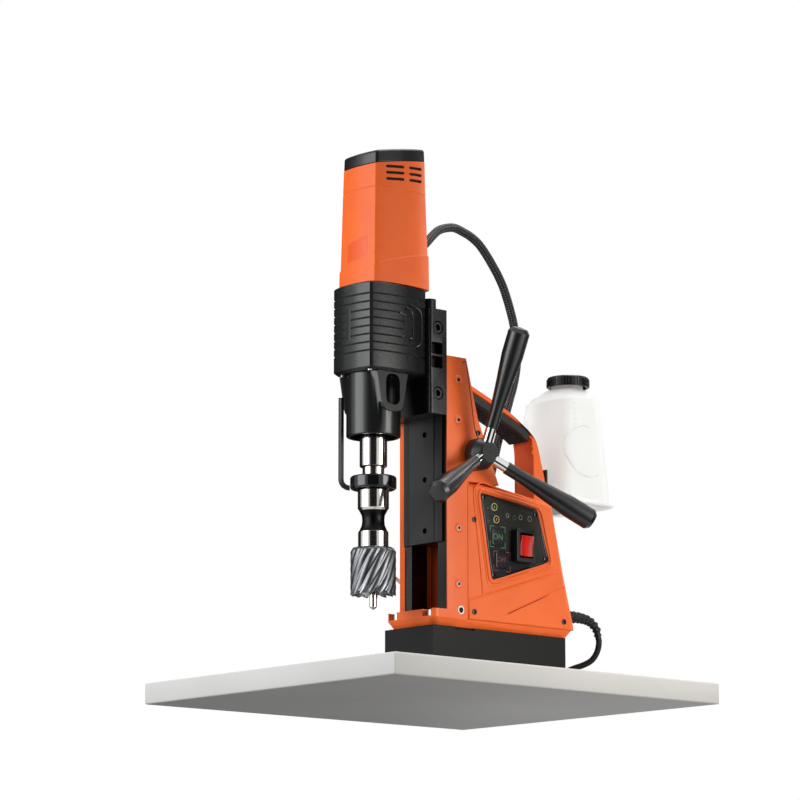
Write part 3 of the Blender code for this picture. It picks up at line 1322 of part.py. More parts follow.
def build_gear_case():
    """The ribbed gear case with its clamp flange, and the two clamp screws."""
    case = solid("gear_case", loft(case_rings()), BLACK, slide)
    flange = rounded(
        [(-FLANGE_HALF, FLANGE_FRONT), (FLANGE_HALF, FLANGE_FRONT), (FLANGE_HALF, FLANGE_BACK),
         (-FLANGE_HALF, FLANGE_BACK)],
        [0.004, 0.004, 0, 0],
    )
    join(case, prism(flange, "Z", FLANGE_Z, FLANGE_TOP))
    lug_y = FLANGE_BACK - LUG_AT[1]
    join(case, merged(*[
        rod(LUG_RADIUS, (x, lug_y, FLANGE_TOP - LUG_RISE), (x, lug_y, FLANGE_TOP + LUG_RISE), 14)
        for x in (-LUG_AT[0], LUG_AT[0])
    ]))
    slot = (SLIDE_LEFT - FIT, SLIDE_RIGHT + FIT)
    cut(case, box(slot, (SLIDE_FACE - FIT, COLUMN_FRONT), (FLANGE_Z - FIT, SLIDE_TOP + FIT)))
    seat = SPINDLE_BEARING + FIT
    room = SPINDLE_PITCH + 2 * GEAR_WALL + DRIVE_MODULE
    cut(case, stepped(
        [(seat, CASE_Z - FIT, GEAR_FLOOR), (room, GEAR_FLOOR, CASE_TOP + FIT)], (0, SPINDLE_Y), 30,
    ))
    side_room = WHEEL_PITCH + GEAR_WALL + DRIVE_MODULE
    stub = GEAR_FLOOR - IDLER_STUB - FIT
    cut(case, stepped(
        [(IDLER_SHAFT + FIT, stub, GEAR_FLOOR), (side_room, GEAR_FLOOR, CASE_TOP + FIT)], IDLER_AT, 22,
    ))
    pockets = []
    for height in POCKET_HEIGHTS:
        outline = rounded(rectangle(*POCKET_SIZE, (POCKET_Y, FLANGE_Z + height)), 0.001, 1)
        for x in (-FLANGE_HALF, FLANGE_HALF):
            pockets.append(prism(outline, "X", *around(x, 2 * POCKET_DEPTH)))
    cut(case, merged(*pockets))
    for place, height in zip(("lower", "upper"), CLAMP_HEIGHTS):
        z = FLANGE_Z + height
        tip = CLAMP_SEAT - CLAMP_LENGTH
        hole = stepped([
            (CLAMP_RADIUS + FIT, -FIT, CLAMP_LENGTH),
            (CLAMP_HEAD_RADIUS + 2 * RUN, CLAMP_LENGTH, CLAMP_LENGTH + CLAMP_HEAD + 2 * FIT),
        ], (0, 0), 18)
        cut(case, aimed(hole, (tip, CLAMP_Y, z), (1, 0, 0)))
        socket = CLAMP_HEAD_RADIUS * 0.55
        profile = [
            (0, 0), (CLAMP_RADIUS, 0), (CLAMP_RADIUS, CLAMP_LENGTH + FIT),
            (CLAMP_HEAD_RADIUS, CLAMP_LENGTH + FIT), (CLAMP_HEAD_RADIUS, CLAMP_LENGTH + CLAMP_HEAD),
            (socket, CLAMP_LENGTH + CLAMP_HEAD), (socket, CLAMP_LENGTH + CLAMP_HEAD * 0.45),
            (0, CLAMP_LENGTH + CLAMP_HEAD * 0.45),
        ]
        screw = aimed(turned(profile, 14), (tip, CLAMP_Y, z), (1, 0, 0))
        solid(f"clamp_screw_{place}", screw, STEEL, slide)


def build_tube():
    """The spindle tube with its drift slots in tapered pads, and the two spindle bearings."""
    profile = [
        (0, TUBE_Z), (TUBE_RADIUS - 0.001, TUBE_Z), (TUBE_RADIUS, TUBE_Z + 0.001),
        (TUBE_RADIUS, TUBE_TOP), (0, TUBE_TOP),
    ]
    body = solid("spindle_tube", aimed(turned(profile, 36), (0, SPINDLE_Y, 0)), BLACK, slide)
    wide, narrow = (w / 2 for w in PAD_WIDTHS)
    low = TUBE_TOP - PAD_HEIGHT
    pad = rounded([
        (SPINDLE_Y - wide, TUBE_TOP), (SPINDLE_Y - narrow, low),
        (SPINDLE_Y + narrow, low), (SPINDLE_Y + wide, TUBE_TOP),
    ], [0, 0.010, 0.010, 0])
    outer = TUBE_RADIUS + PAD_RISE
    join(body, prism(pad, "X", -outer, outer))
    cut(body, rod(TUBE_BORE, (0, SPINDLE_Y, TUBE_Z - FIT), (0, SPINDLE_Y, TUBE_TOP + FIT), 30))
    width, height = DRIFT_SLOT
    top = TUBE_TOP - 2 * COVER_WALL / 3
    slot = rounded([
        (SPINDLE_Y - width / 2, top - height), (SPINDLE_Y + width / 2, top - height),
        (SPINDLE_Y + width / 2, top), (SPINDLE_Y - width / 2, top),
    ], width * 0.45, 4)
    cut(body, prism(slot, "X", -2 * TUBE_RADIUS, 2 * TUBE_RADIUS))
    seat = TUBE_Z + LOWER_BEARING_LIFT
    low_race = ring(NOSE_RADIUS + RUN, TUBE_BORE - FIT, seat, seat + BEARING_HEIGHT, (0, SPINDLE_Y))
    solid("spindle_bearing_lower", low_race, STEEL, slide)
    top_race = ring(
        TAIL_RADIUS + RUN, SPINDLE_BEARING, BEARING_SEAT_Z, BEARING_SEAT_Z + BEARING_HEIGHT,
        (0, SPINDLE_Y),
    )
    solid("spindle_bearing_upper", top_race, STEEL, slide)


def build_spindle():
    """The spindle, arbor, annular cutter, spindle gear and pilot pin."""
    at = (0, SPINDLE_Y, 0)
    step = BEARING_SEAT_Z - RUN
    spindle_top = step + TAIL_LENGTH
    wide, slim = TAPER_RADII
    taper_top = NOSE_Z + TAPER_LENGTH
    outer = [
        (0, spindle_top), (TAIL_RADIUS, spindle_top), (TAIL_RADIUS, step), (NOSE_RADIUS, step),
        (NOSE_RADIUS, NOSE_Z + 0.001), (NOSE_RADIUS - 0.001, NOSE_Z),
        (wide + FIT, NOSE_Z), (slim + FIT, taper_top + FIT), (0, taper_top + FIT),
    ]
    spin = solid("spindle", aimed(turned(outer, 24), at), CHROME, spindle_axis)
    drift = DRIFT_SLOT[0] * 0.18
    low = taper_top - 0.004
    cut(spin, box((-2 * NOSE_RADIUS, 2 * NOSE_RADIUS), around(SPINDLE_Y, 2 * drift), (low, low + 0.024)))
    bore = PILOT_RADIUS + RUN
    pocket = SHANK_RADIUS + FIT
    foot = CUTTER_TOP + FIT
    pilot_room = foot + SHANK_LENGTH + PILOT_STROKE + PILOT_INSIDE
    profile = [
        (0, taper_top), (slim, taper_top), (wide, NOSE_Z), (NECK_RADIUS, NOSE_Z - FIT),
        (NECK_RADIUS, COLLAR_TOP), (COLLAR_RADIUS - 0.001, COLLAR_TOP),
        (COLLAR_RADIUS, COLLAR_TOP - 0.001), (COLLAR_RADIUS, WAIST_TOP + 0.002),
        (COLLAR_RADIUS - 0.0015, WAIST_TOP),
    ]
    for k in range(1, 4):
        t = k / 4
        depth = (COLLAR_RADIUS - 0.0015 - WAIST_RADIUS) * math.sqrt(math.sin(math.pi * t))
        profile.append((COLLAR_RADIUS - 0.0015 - depth, WAIST_TOP - WAIST_HEIGHT * t))
    profile += [
        (LOWER_COLLAR_RADIUS - 0.0015, LOWER_COLLAR_TOP), (LOWER_COLLAR_RADIUS, LOWER_COLLAR_TOP - 0.002),
        (LOWER_COLLAR_RADIUS, foot), (pocket, foot), (pocket, foot + SHANK_LENGTH + FIT),
        (bore, foot + SHANK_LENGTH + FIT), (bore, pilot_room), (0, pilot_room),
    ]
    solid("arbor", aimed(turned(profile, 24), at), CHROME, spindle_axis)
    solid("annular_cutter", cutter_body(), STEEL, spindle_axis)
    cutter = bpy.data.objects["annular_cutter"]
    stem = [
        (bore, CUTTER_TOP - CUTTER_ROOF / 2), (SHANK_RADIUS, CUTTER_TOP - CUTTER_ROOF / 2),
        (SHANK_RADIUS, CUTTER_TOP + SHANK_LENGTH), (bore, CUTTER_TOP + SHANK_LENGTH),
    ]
    join(cutter, aimed(turned(stem, 20, hollow=True), at))
    cup = CUTTER_RADIUS - CUTTER_WALL
    cut(cutter, rod(cup, (0, SPINDLE_Y, CUTTER_Z - 0.01), (0, SPINDLE_Y, CUTTER_TOP - CUTTER_ROOF), 24))
    cut(cutter, rod(bore, (0, SPINDLE_Y, CUTTER_Z), (0, SPINDLE_Y, CUTTER_TOP + SHANK_LENGTH + FIT), 16))
    tip = CUTTER_Z - PILOT_REACH
    head = foot + SHANK_LENGTH + PILOT_INSIDE
    pin = [
        (0, tip), (PILOT_RADIUS * 0.9, tip + PILOT_RADIUS * 0.7), (PILOT_RADIUS, tip + PILOT_RADIUS),
        (PILOT_RADIUS, head), (0, head),
    ]
    solid("pilot_pin", aimed(turned(pin, 16), at), CHROME, pilot_axis)
    wheel = gear_outline(SPINDLE_TEETH, DRIVE_MODULE, DRIVE_BACKLASH, SPINDLE_PHASE)
    wheel = [(x, SPINDLE_Y + y) for x, y in wheel]
    gear = solid("spindle_gear", prism(wheel, "Z", LOW_GEAR_Z, LOW_GEAR_Z + GEAR_FACE), STEEL, spindle_axis)
    gear_top = LOW_GEAR_Z + GEAR_FACE + FIT
    cut(gear, rod(TAIL_RADIUS + FIT, (0, SPINDLE_Y, LOW_GEAR_Z - FIT), (0, SPINDLE_Y, gear_top), 24))


def cutter_body():
    """The cutter's outer body: a fluted section that twists along its height, with raked teeth."""
    rows = []
    for step in range(CUTTER_STEPS + 1):
        share = step / CUTTER_STEPS
        z = CUTTER_Z + (CUTTER_HEIGHT - 0.004) * share
        row = []
        for k in range(CUTTER_FLUTES):
            start = math.tau * k / CUTTER_FLUTES + CUTTER_TWIST * share
            wedge = math.tau / CUTTER_FLUTES
            for part, radius, drop in (
                (0.0, CUTTER_RADIUS, 0.0), (0.45, CUTTER_RADIUS, 0.0012),
                (0.62, CUTTER_RADIUS - CUTTER_FLUTE_DEPTH, TOOTH_NOTCH),
                (0.95, CUTTER_RADIUS - CUTTER_FLUTE_DEPTH, TOOTH_NOTCH),
            ):
                angle = start + wedge * part
                lift = drop if step == 0 else 0.0
                row.append((radius * math.cos(angle), SPINDLE_Y + radius * math.sin(angle), z + lift))
        rows.append(row)
    top = [
        (x * 0.9, SPINDLE_Y + (y - SPINDLE_Y) * 0.9, CUTTER_TOP) for x, y, z in rows[-1]
    ]
    rows.append(top)
    bm = bmesh.new()
    grid = [[bm.verts.new(point) for point in row] for row in rows]
    count = len(grid[0])
    for low, high in zip(grid, grid[1:]):
        for i in range(count):
            j = (i + 1) % count
            bm.faces.new((low[i], low[j], high[j]))
            bm.faces.new((low[i], high[j], high[i]))
    bm.faces.new(grid[-1])
    hub = bm.verts.new((0, SPINDLE_Y, CUTTER_Z + TOOTH_NOTCH))
    for i in range(count):
        bm.faces.new((grid[0][i], grid[0][(i + 1) % count], hub))
    bmesh.ops.recalc_face_normals(bm, faces=bm.faces)
    return bm


def build_idler():
    """The compound idler: the large wheel, the small pinion and the shaft that carries them."""
    x, y = IDLER_AT
    low = GEAR_FLOOR - IDLER_STUB
    high = MOTOR_Z + IDLER_STUB
    shaft = solid("idler_gear", rod(IDLER_SHAFT, (x, y, low), (x, y, high), 16), STEEL, idler_axis)
    small = [(x + u, y + v) for u, v in gear_outline(IDLER_TEETH, DRIVE_MODULE, DRIVE_BACKLASH, IDLER_PHASE)]
    large = [(x + u, y + v) for u, v in gear_outline(WHEEL_TEETH, DRIVE_MODULE, DRIVE_BACKLASH, WHEEL_PHASE)]
    join(
        shaft,
        prism(small, "Z", LOW_GEAR_Z, HIGH_GEAR_Z + GEAR_WALL),
        prism(large, "Z", HIGH_GEAR_Z, HIGH_GEAR_Z + GEAR_FACE),
    )


def motor_half(z):
    """The motor housing's half sizes at a height above its foot."""
    t = z / MOTOR_HEIGHT
    return [a + (b - a) * t for a, b in zip(MOTOR_HALF_BOTTOM, MOTOR_HALF_TOP)]


def motor_rings():
    """The motor housing's rings: a proud foot, the tapering shell and the parting line near its top."""
    line = MOTOR_LINE_DEPTH
    foot = MOTOR_FOOT_STEP
    level = (0.0, 0.0)
    levels = [
        (0.0, -foot, level), (MOTOR_FOOT - foot, -foot, MOTOR_FOOT_TILT),
        (MOTOR_FOOT, 0.0, MOTOR_FOOT_TILT),
        (MOTOR_LINE - line, 0.0, level), (MOTOR_LINE, line, level), (MOTOR_LINE + line, 0.0, level),
        (MOTOR_HEIGHT, 0.0, CAP_TILT),
    ]
    made = []
    for z, shrink, tilt in levels:
        x, y = motor_half(z)
        outline = bowed(x - shrink, y - shrink, MOTOR_BULGE, (0, MOTOR_Y), CASE_CORNER)
        made.append(tilted(outline, MOTOR_Z + z, tilt))
    return made


def tilted(outline, level, tilt):
    """The motor's outline, rising to both sides and to the back."""
    return [(x, y, level + tilt[0] * abs(x) + tilt[1] * (y - MOTOR_Y)) for x, y in outline]


def build_motor():
    """The motor housing with its vents, the cap, the stator, the bearings and the armature."""
    at = (0, MOTOR_Y, 0)
    shell = solid("motor_housing", loft(motor_rings()), ORANGE, slide)
    floor = MOTOR_Z + MOTOR_FLOOR
    cut(shell, stepped(
        [(LOW_BEARING + FIT, MOTOR_Z - FIT, floor), (MOTOR_BORE, floor, CAP_Z + CAP_HEIGHT)],
        (0, MOTOR_Y), 28,
    ))
    cut(shell, rod(
        IDLER_SHAFT + FIT, (IDLER_AT.x, IDLER_AT.y, MOTOR_Z - FIT),
        (IDLER_AT.x, IDLER_AT.y, MOTOR_Z + IDLER_STUB + FIT), 16,
    ))
    reach = MOTOR_HALF_BOTTOM[0] + 2 * MOTOR_BULGE
    slots = []
    for row in range(VENT_ROWS):
        z = MOTOR_Z + VENT_TOP - VENT_PITCH * row
        for start, end in VENT_COLUMNS:
            outline = rounded(
                rectangle(end - start, VENT_HEIGHT, (MOTOR_Y + (start + end) / 2, z)), VENT_HEIGHT * 0.4, 1,
            )
            outline = [(y, level + VENT_TILT * (y - MOTOR_Y)) for y, level in outline]
            slots.append(prism(outline, "X", -reach, reach))
    cut(shell, merged(*slots))
    half_x, half_y = MOTOR_HALF_TOP
    rows = []
    rim = CAP_Z + CAP_HEIGHT
    for z, shrink in ((CAP_Z, 0.0), (rim - CAP_CHAMFER, CAP_CHAMFER / 5), (rim, CAP_CHAMFER)):
        outline = bowed(half_x - shrink, half_y - shrink, MOTOR_BULGE, (0, MOTOR_Y), CASE_CORNER)
        rows.append(tilted(outline, z, CAP_TILT))
    cap = solid("motor_cap", loft(rows), BLACK, slide)
    join(cap, rod(CAP_BOSS_RADIUS, (0, MOTOR_Y, TOP_SEAT), (0, MOTOR_Y, CAP_Z + CAP_HEIGHT / 2), 24))
    bore = ARMATURE_SHAFT + RUN
    cut(cap, rod(bore, (0, MOTOR_Y, TOP_SEAT - FIT), (0, MOTOR_Y, CAP_Z), 16))
    low = ring(bore, LOW_BEARING, MOTOR_Z + RUN, floor - RUN, (0, MOTOR_Y), 18)
    solid("armature_bearing", low, STEEL, slide)
    outer = MOTOR_BORE - FIT
    core = outer - STATOR_WALL
    pack = ring(core, outer, STATOR_Z, STATOR_Z + STATOR_LENGTH, (0, MOTOR_Y))
    solid("stator", pack, COPPER, slide)
    fan_z = floor + 0.008
    brush_z = STATOR_Z + STATOR_LENGTH + 0.006
    core -= CORE_GAP
    shaft = ARMATURE_SHAFT
    gear_top = HIGH_GEAR_Z + GEAR_FACE
    profile = [
        (0, gear_top + GEAR_WALL), (shaft, gear_top + GEAR_WALL), (shaft, fan_z),
        (FAN_RADIUS, fan_z), (FAN_RADIUS, fan_z + 0.003), (FAN_RADIUS * 0.4, fan_z + 0.010),
        (shaft, fan_z + 0.010), (shaft, STATOR_Z), (core, STATOR_Z), (core, STATOR_Z + STATOR_LENGTH),
        (shaft, STATOR_Z + STATOR_LENGTH), (shaft, brush_z), (COMMUTATOR_RADIUS, brush_z),
        (COMMUTATOR_RADIUS, brush_z + 0.013), (shaft, brush_z + 0.013),
        (shaft, CAP_Z - RUN), (0, CAP_Z - RUN),
    ]
    rotor = solid("armature", aimed(turned(profile, 20), at), STEEL, armature_axis)
    teeth = gear_outline(ARMATURE_TEETH, DRIVE_MODULE, DRIVE_BACKLASH, ARMATURE_PHASE)
    teeth = [(x, MOTOR_Y + y) for x, y in teeth]
    join(rotor, prism(teeth, "Z", HIGH_GEAR_Z, gear_top + 2 * GEAR_WALL))


def build_ring():
    """The coolant ring round the arbor's neck and the bent bar that keeps it from turning."""
    low = RING_TOP - RING_HEIGHT
    rim = RING_RADIUS
    section = [
        (NECK_RADIUS + RUN, low), (rim - 0.0015, low), (rim, low + 0.0015), (rim, RING_TOP - 0.0015),
        (rim - 0.0015, RING_TOP), (NECK_RADIUS + RUN, RING_TOP),
    ]
    body = solid("coolant_ring", aimed(turned(section, 28, hollow=True), (0, SPINDLE_Y, 0)), BLACK, slide)
    start = Vector((0, SPINDLE_Y, low + RING_HEIGHT * 0.55)) + INLET_WAY * (rim - 0.004)
    join(body, rod(INLET_RADIUS, start, start + INLET_WAY * (0.004 + INLET_LENGTH), 12))
    way = Vector((math.cos(ARM_BAR_SIDE), math.sin(ARM_BAR_SIDE), 0))
    centre = Vector((0, SPINDLE_Y, 0))
    foot_z = low + ARM_BAR_RADIUS * 0.6
    bend = ARM_BAR_BEND
    route = [centre + way * (rim + FIT) + Vector((0, 0, foot_z))]
    turn = centre + way * (ARM_BAR_ORBIT - bend) + Vector((0, 0, foot_z + bend))
    for k in range(5):
        angle = math.pi / 2 * k / 4
        route.append(turn + way * bend * math.sin(angle) - Vector((0, 0, bend * math.cos(angle))))
    route.append(centre + way * ARM_BAR_ORBIT + Vector((0, 0, low + ARM_BAR_TOP)))
    tube("ring_arm", route, ARM_BAR_RADIUS, BLACK, slide, 2)


def superellipse(half_x, half_y, power, z, centre, count=24):
    """A rounded-square ring of points."""
    made = []
    for k in range(count):
        angle = math.tau * (k + 0.5) / count
        c = math.cos(angle)
        s = math.sin(angle)
        x = half_x * math.copysign(abs(c) ** (2 / power), c)
        y = half_y * math.copysign(abs(s) ** (2 / power), s)
        made.append((centre[0] + x, centre[1] + y, z))
    return made


def bottle_centre():
    """The bottle stands just behind the bracket's plate."""
    return BOTTLE_CENTRE_X, bracket_plane() + BRACKET_THICKNESS + FIT + BOTTLE_HALF[1] + BOTTLE_FOOT


def bottle_mouth():
    """The neck stands nearer to the bottle's back right corner."""
    x, y = bottle_centre()
    return x + BOTTLE_LEAN[0], y + BOTTLE_LEAN[1]


def bracket_plane():
    """The bracket's plate lies against the rearmost point of the handle's leg."""
    return handle_lines()["leg_foot"][0] + FIT


def build_bottle():
    """The hollow bottle, its ribbed cap, the bracket that holds it and the tap under it."""
    centre = bottle_centre()
    hx, hy = BOTTLE_HALF
    top = BOTTLE_Z + BOTTLE_HEIGHT
    shoulder = top + BOTTLE_SHOULDER
    neck_top = shoulder + BOTTLE_NECK
    neck = BOTTLE_NECK_RADIUS
    first, second, third, fourth = BOTTLE_TAPER
    mouth = bottle_mouth()

    def skin(wall, low):
        foot = BOTTLE_FOOT
        levels = [
            (hx + foot, hy + foot, 6, low, 0.0), (hx + foot, hy + foot, 6, BOTTLE_Z + foot, 0.0),
            (hx, hy, 6, BOTTLE_Z + 2 * foot, 0.0),
            (hx * first, hy * first, 6, BOTTLE_Z + 0.40 * BOTTLE_HEIGHT, 0.0),
            (hx * second, hy * second, 5.5, BOTTLE_Z + 0.75 * BOTTLE_HEIGHT, 0.15),
            (hx * third, hy * third, 5, top - 0.5 * BOTTLE_SHOULDER, 0.3),
            (hx * fourth, hy * fourth, 4.5, top + 0.2 * BOTTLE_SHOULDER, 0.55),
            (neck + 0.1 * (hx - neck), neck + 0.1 * (hy - neck), 2.8, shoulder - 0.1 * BOTTLE_SHOULDER, 0.9),
            (neck, neck, 2, shoulder, 1.0), (neck, neck, 2, neck_top, 1.0),
        ]
        rings = []
        for x, y, power, z, share in levels:
            at = [a + (b - a) * share for a, b in zip(centre, mouth)]
            rings.append(superellipse(x - wall, y - wall, power, z, at))
        return rings

    inside = skin(BOTTLE_WALL, BOTTLE_Z + BOTTLE_WALL)
    flask = loft(skin(0.0, BOTTLE_Z) + list(reversed(inside)))
    solid("coolant_bottle", flask, BOTTLE, frame)
    low = shoulder + BOTTLE_CAP_GAP
    high = low + BOTTLE_CAP_HEIGHT
    cap_axis.location = (*mouth, low)
    inner = neck + 2 * FIT
    ribs = []
    for k in range(2 * BOTTLE_CAP_RIBS):
        radius = BOTTLE_CAP_RADIUS - (BOTTLE_CAP_RIB if k % 2 else 0.0)
        angle = math.tau * k / (2 * BOTTLE_CAP_RIBS)
        ribs.append((mouth[0] + radius * math.cos(angle), mouth[1] + radius * math.sin(angle)))
    crown = [(mouth[0] + (x - mouth[0]) * 0.95, mouth[1] + (y - mouth[1]) * 0.95) for x, y in ribs]
    lid = solid("bottle_cap", loft([
        raised(ribs, "Z", low), raised(ribs, "Z", high - 0.0015), raised(crown, "Z", high),
    ]), BLACK, cap_axis)
    roof = neck_top + FIT
    cut(lid, rod(inner, (*mouth, low - FIT), (*mouth, roof), 28))
    plane = bracket_plane()
    back = plane + BRACKET_THICKNESS
    shelf_top = BOTTLE_Z - FIT
    shelf_low = shelf_top - BRACKET_THICKNESS
    width, depth = BRACKET_SHELF
    profile = [
        (plane, shelf_low), (back + depth, shelf_low), (back + depth, shelf_top), (back, shelf_top),
        (back, shelf_top + BRACKET_RISE), (plane, shelf_top + BRACKET_RISE),
    ]
    bracket = solid("bottle_bracket", prism(profile, "X", *around(BOTTLE_CENTRE_X, width)), STEEL, frame)
    tap_y = back + depth * 0.25
    tap_end = Vector((BOTTLE_CENTRE_X, tap_y, shelf_top - TAP_LENGTH))
    above = (BOTTLE_CENTRE_X, tap_y, shelf_top + FIT)
    cut(bracket, rod(TAP_RADIUS + FIT, (BOTTLE_CENTRE_X, tap_y, shelf_low - FIT), above, 16))
    tap = [
        (0, 0), (TAP_BARB, 0), (TAP_BARB, TAP_LENGTH * 0.4), (TAP_RADIUS * 0.9, TAP_LENGTH * 0.45),
        (TAP_RADIUS, TAP_LENGTH), (0, TAP_LENGTH),
    ]
    solid("bottle_tap", aimed(turned(tap, 16), tap_end), BLACK, frame)
    return tap_end


def build_hose(tap_end):
    """The coolant hose: from the tap along the left side, round the column's foot and up to the ring."""
    inlet = Vector((0, SPINDLE_Y, RING_TOP - RING_HEIGHT * 0.45)) + INLET_WAY * (RING_RADIUS + INLET_LENGTH)
    run_in = 3 * HOSE_RADIUS
    route = [
        tap_end - Vector((0, 0, FIT)), tap_end - Vector((0, 0, TAP_LENGTH)),
        *HOSE_ROUTE,
        inlet + INLET_WAY * 2 * run_in + Vector((0, 0, -RUN * 3)),
        inlet + INLET_WAY * run_in, inlet + INLET_WAY * FIT,
    ]
    points = led(route, 7 * HOSE_RADIUS)
    tube("coolant_hose", points, HOSE_RADIUS, HOSE, frame, 1)
    print(f"coolant hose length {length_of(points):.3f} m")


def build_conduit():
    """The two glands and the braided conduit from the motor's back to the housing's top."""
    face = MOTOR_Y + motor_half(GLAND_LIFT - GLAND_RADIUS)[1] + MOTOR_BULGE + FIT
    start = Vector((GLAND_X, face, MOTOR_Z + GLAND_LIFT))
    route = [start]
    for k in range(1, 6):
        angle = GLAND_RISE * k / 5
        reach = GLAND_SWEEP * (0.25 + math.sin(angle))
        route.append(start + Vector((0, reach, GLAND_SWEEP * (1 - math.cos(angle)))))
    tip = Vector((0, math.cos(GLAND_RISE), math.sin(GLAND_RISE)))
    route.append(route[-1] + tip * GLAND_SWEEP / 4)
    tube("motor_gland", route, GLAND_RADIUS, BLACK, slide, 3)
    base = Vector((CONDUIT_FOOT[0], SEAM + CONDUIT_FOOT[1], 0))
    drop = (base.y - SEAM - GUSSET_FOOT) / (HOUSING_CREST - GUSSET_FOOT)
    base.z = HOUSING_TOP - 0.08 * COVER_TOP * drop + 2 * FIT + RUN
    nut = GLAND_RADIUS * 1.15
    profile = [
        (0, 0), (nut, 0), (nut, GLAND_HEIGHT * 0.6), (GLAND_RADIUS * 0.8, GLAND_HEIGHT), (0, GLAND_HEIGHT),
    ]
    lean = Vector((0, 0.12, 1)).normalized()
    solid("conduit_gland", aimed(turned(profile, 20), base, lean), BLACK, frame)
    foot = base + lean * (GLAND_HEIGHT + FIT)
    top = route[-1] + tip * FIT
    path = [
        top, top + tip * 2 * CONDUIT_RADIUS, *CONDUIT_ROUTE, foot + lean * 3 * CONDUIT_RADIUS, foot,
    ]
    points = led(path, 3 * CONDUIT_RADIUS)
    tube("motor_conduit", points, CONDUIT_RADIUS, BLACK, frame, 2)
    print(f"conduit length {length_of(points):.3f} m")


def build_cord():
    """The ribbed strain relief, the free cord, the stored coil and the plug."""
    rear = HOUSING_REAR + FIT
    bend = [(x, rear + y, z) for x, y, z in RELIEF_ROUTE]
    spine = smooth_route(bend, length_of(bend) / (2 * RELIEF_RIBS))
    radii = []
    for k in range(len(spine)):
        share = k / (len(spine) - 1)
        size = RELIEF_RADIUS + (RELIEF_END_RADIUS - RELIEF_RADIUS) * share
        radii.append((size if k % 2 == 0 else size - 0.0018) / RELIEF_RADIUS)
    tube("strain_relief", spine, RELIEF_RADIUS, RUBBER, frame, 2, radii)
    way = (spine[-1] - spine[-2]).normalized()
    exit_point = spine[-1] + way * FIT
    coil = coil_route()
    entry = coil[0] - (coil[1] - coil[0]).normalized() * FIT
    ahead = (coil[1] - coil[0]).normalized()
    first = exit_point + way * 2 * CORD_RADIUS
    path = [exit_point, first, *CORD_ROUTE, entry - ahead * 4 * CORD_RADIUS, entry]
    free = led(path, 0.012)
    whole = free[:-1] + coil
    tube("power_cord", whole, CORD_RADIUS, RUBBER, frame, 1)
    print(f"power cord length {length_of(whole):.3f} m")
    print(f"coil's least gap to itself {least_gap(coil, CORD_RADIUS, COIL_POINTS // 3) * 1000:.2f} mm")
    away = (coil[-1] - coil[-2]).normalized()
    start = coil[-1] + away * FIT
    slim = CORD_RADIUS + 0.0015
    body = [
        (0, 0), (slim, 0), (slim + 0.001, 0.016), (PLUG_RADIUS * 0.72, 0.022), (PLUG_RADIUS, 0.030),
        (PLUG_RADIUS, PLUG_LENGTH - 0.002), (PLUG_RADIUS - 0.002, PLUG_LENGTH), (0, PLUG_LENGTH),
    ]
    plug = solid("plug", aimed(turned(body, 16), start, away), RUBBER, frame)
    for side in (-1, 1):
        base = start + away * (PLUG_LENGTH - 0.002) + Vector((side * PLUG_PIN_SPREAD, 0, 0))
        join(plug, rod(PLUG_PIN_RADIUS, base, base + away * (PLUG_PIN_LENGTH + 0.002), 8))


def coil_route():
    """Piled loops: in along one layer, out along the next, climbing in the half turn between them."""
    cx, cy = COIL_CENTRE
    inner = COIL_OUTER - COIL_TURNS * COIL_PITCH
    stretch = COIL_TURNS * COIL_POINTS
    half = COIL_POINTS // 2
    polar = []
    angle = 0.0
    step = math.tau / COIL_POINTS
    floor = CORD_RADIUS + COIL_FLOOR_GAP
    for layer in range(COIL_LAYERS):
        inward = layer % 2 == 0
        z = floor + layer * COIL_PITCH
        for k in range(stretch):
            share = k / stretch if inward else 1 - k / stretch
            polar.append((COIL_OUTER + (inner - COIL_OUTER) * share, angle, z))
            angle -= step
        if layer == COIL_LAYERS - 1:
            break
        edge = inner if inward else COIL_OUTER
        swing = -1 if inward else 1
        for k in range(half):
            share = k / half
            bump = swing * 0.55 * COIL_PITCH * math.sin(math.pi * share)
            climb = COIL_PITCH * (share - math.sin(math.tau * share) / math.tau)
            polar.append((edge + bump, angle, z + climb))
            angle -= step
    points = [Vector((cx + r * math.cos(a), cy + r * math.sin(a), z)) for r, a, z in polar]
    lead = points[0] - Vector((0, -1, 0)) * 2 * CORD_RADIUS
    side = cx - COIL_OUTER
    high = points[-1].z
    rest = PLUG_RADIUS + FIT
    tail = [
        Vector((side - 0.0006, cy, high)), Vector((side - 0.0010, cy + 0.012, high - 0.0008)),
        Vector((side - 0.0010, cy + 0.024, high - 0.0045)),
        Vector((side - 0.0006, cy + 0.036, rest + 0.0006)),
        Vector((side - 0.0006, cy + 0.046, rest)), Vector((side - 0.0006, cy + 0.056, rest)),
    ]
    return [lead, points[0].lerp(lead, 0.4), *points, *tail]


build_magnet()
build_frame()
build_bolts()
build_ways()
build_slide()
build_capstan()
build_housing()
build_panel()
build_handle()
build_gear_case()
build_tube()
build_spindle()
build_idler()
build_motor()
build_ring()
build_hose(build_bottle())
build_conduit()
build_cord()
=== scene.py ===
"""Studio scene of a magnetic drill press.

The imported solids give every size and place. Each visible solid is copied with rounded edges and
smooth shading, the cords get their braid, coil and tie, and the small things that the solids leave
out (screws, prints, ridges, the bare label place) are added where the machine has them.
"""

import json
import logging
import math
from dataclasses import dataclass
from enum import Enum
from typing import Any, Optional, Sequence, Union

import bmesh
import bpy
from mathutils import Matrix, Vector
from mathutils.bvhtree import BVHTree

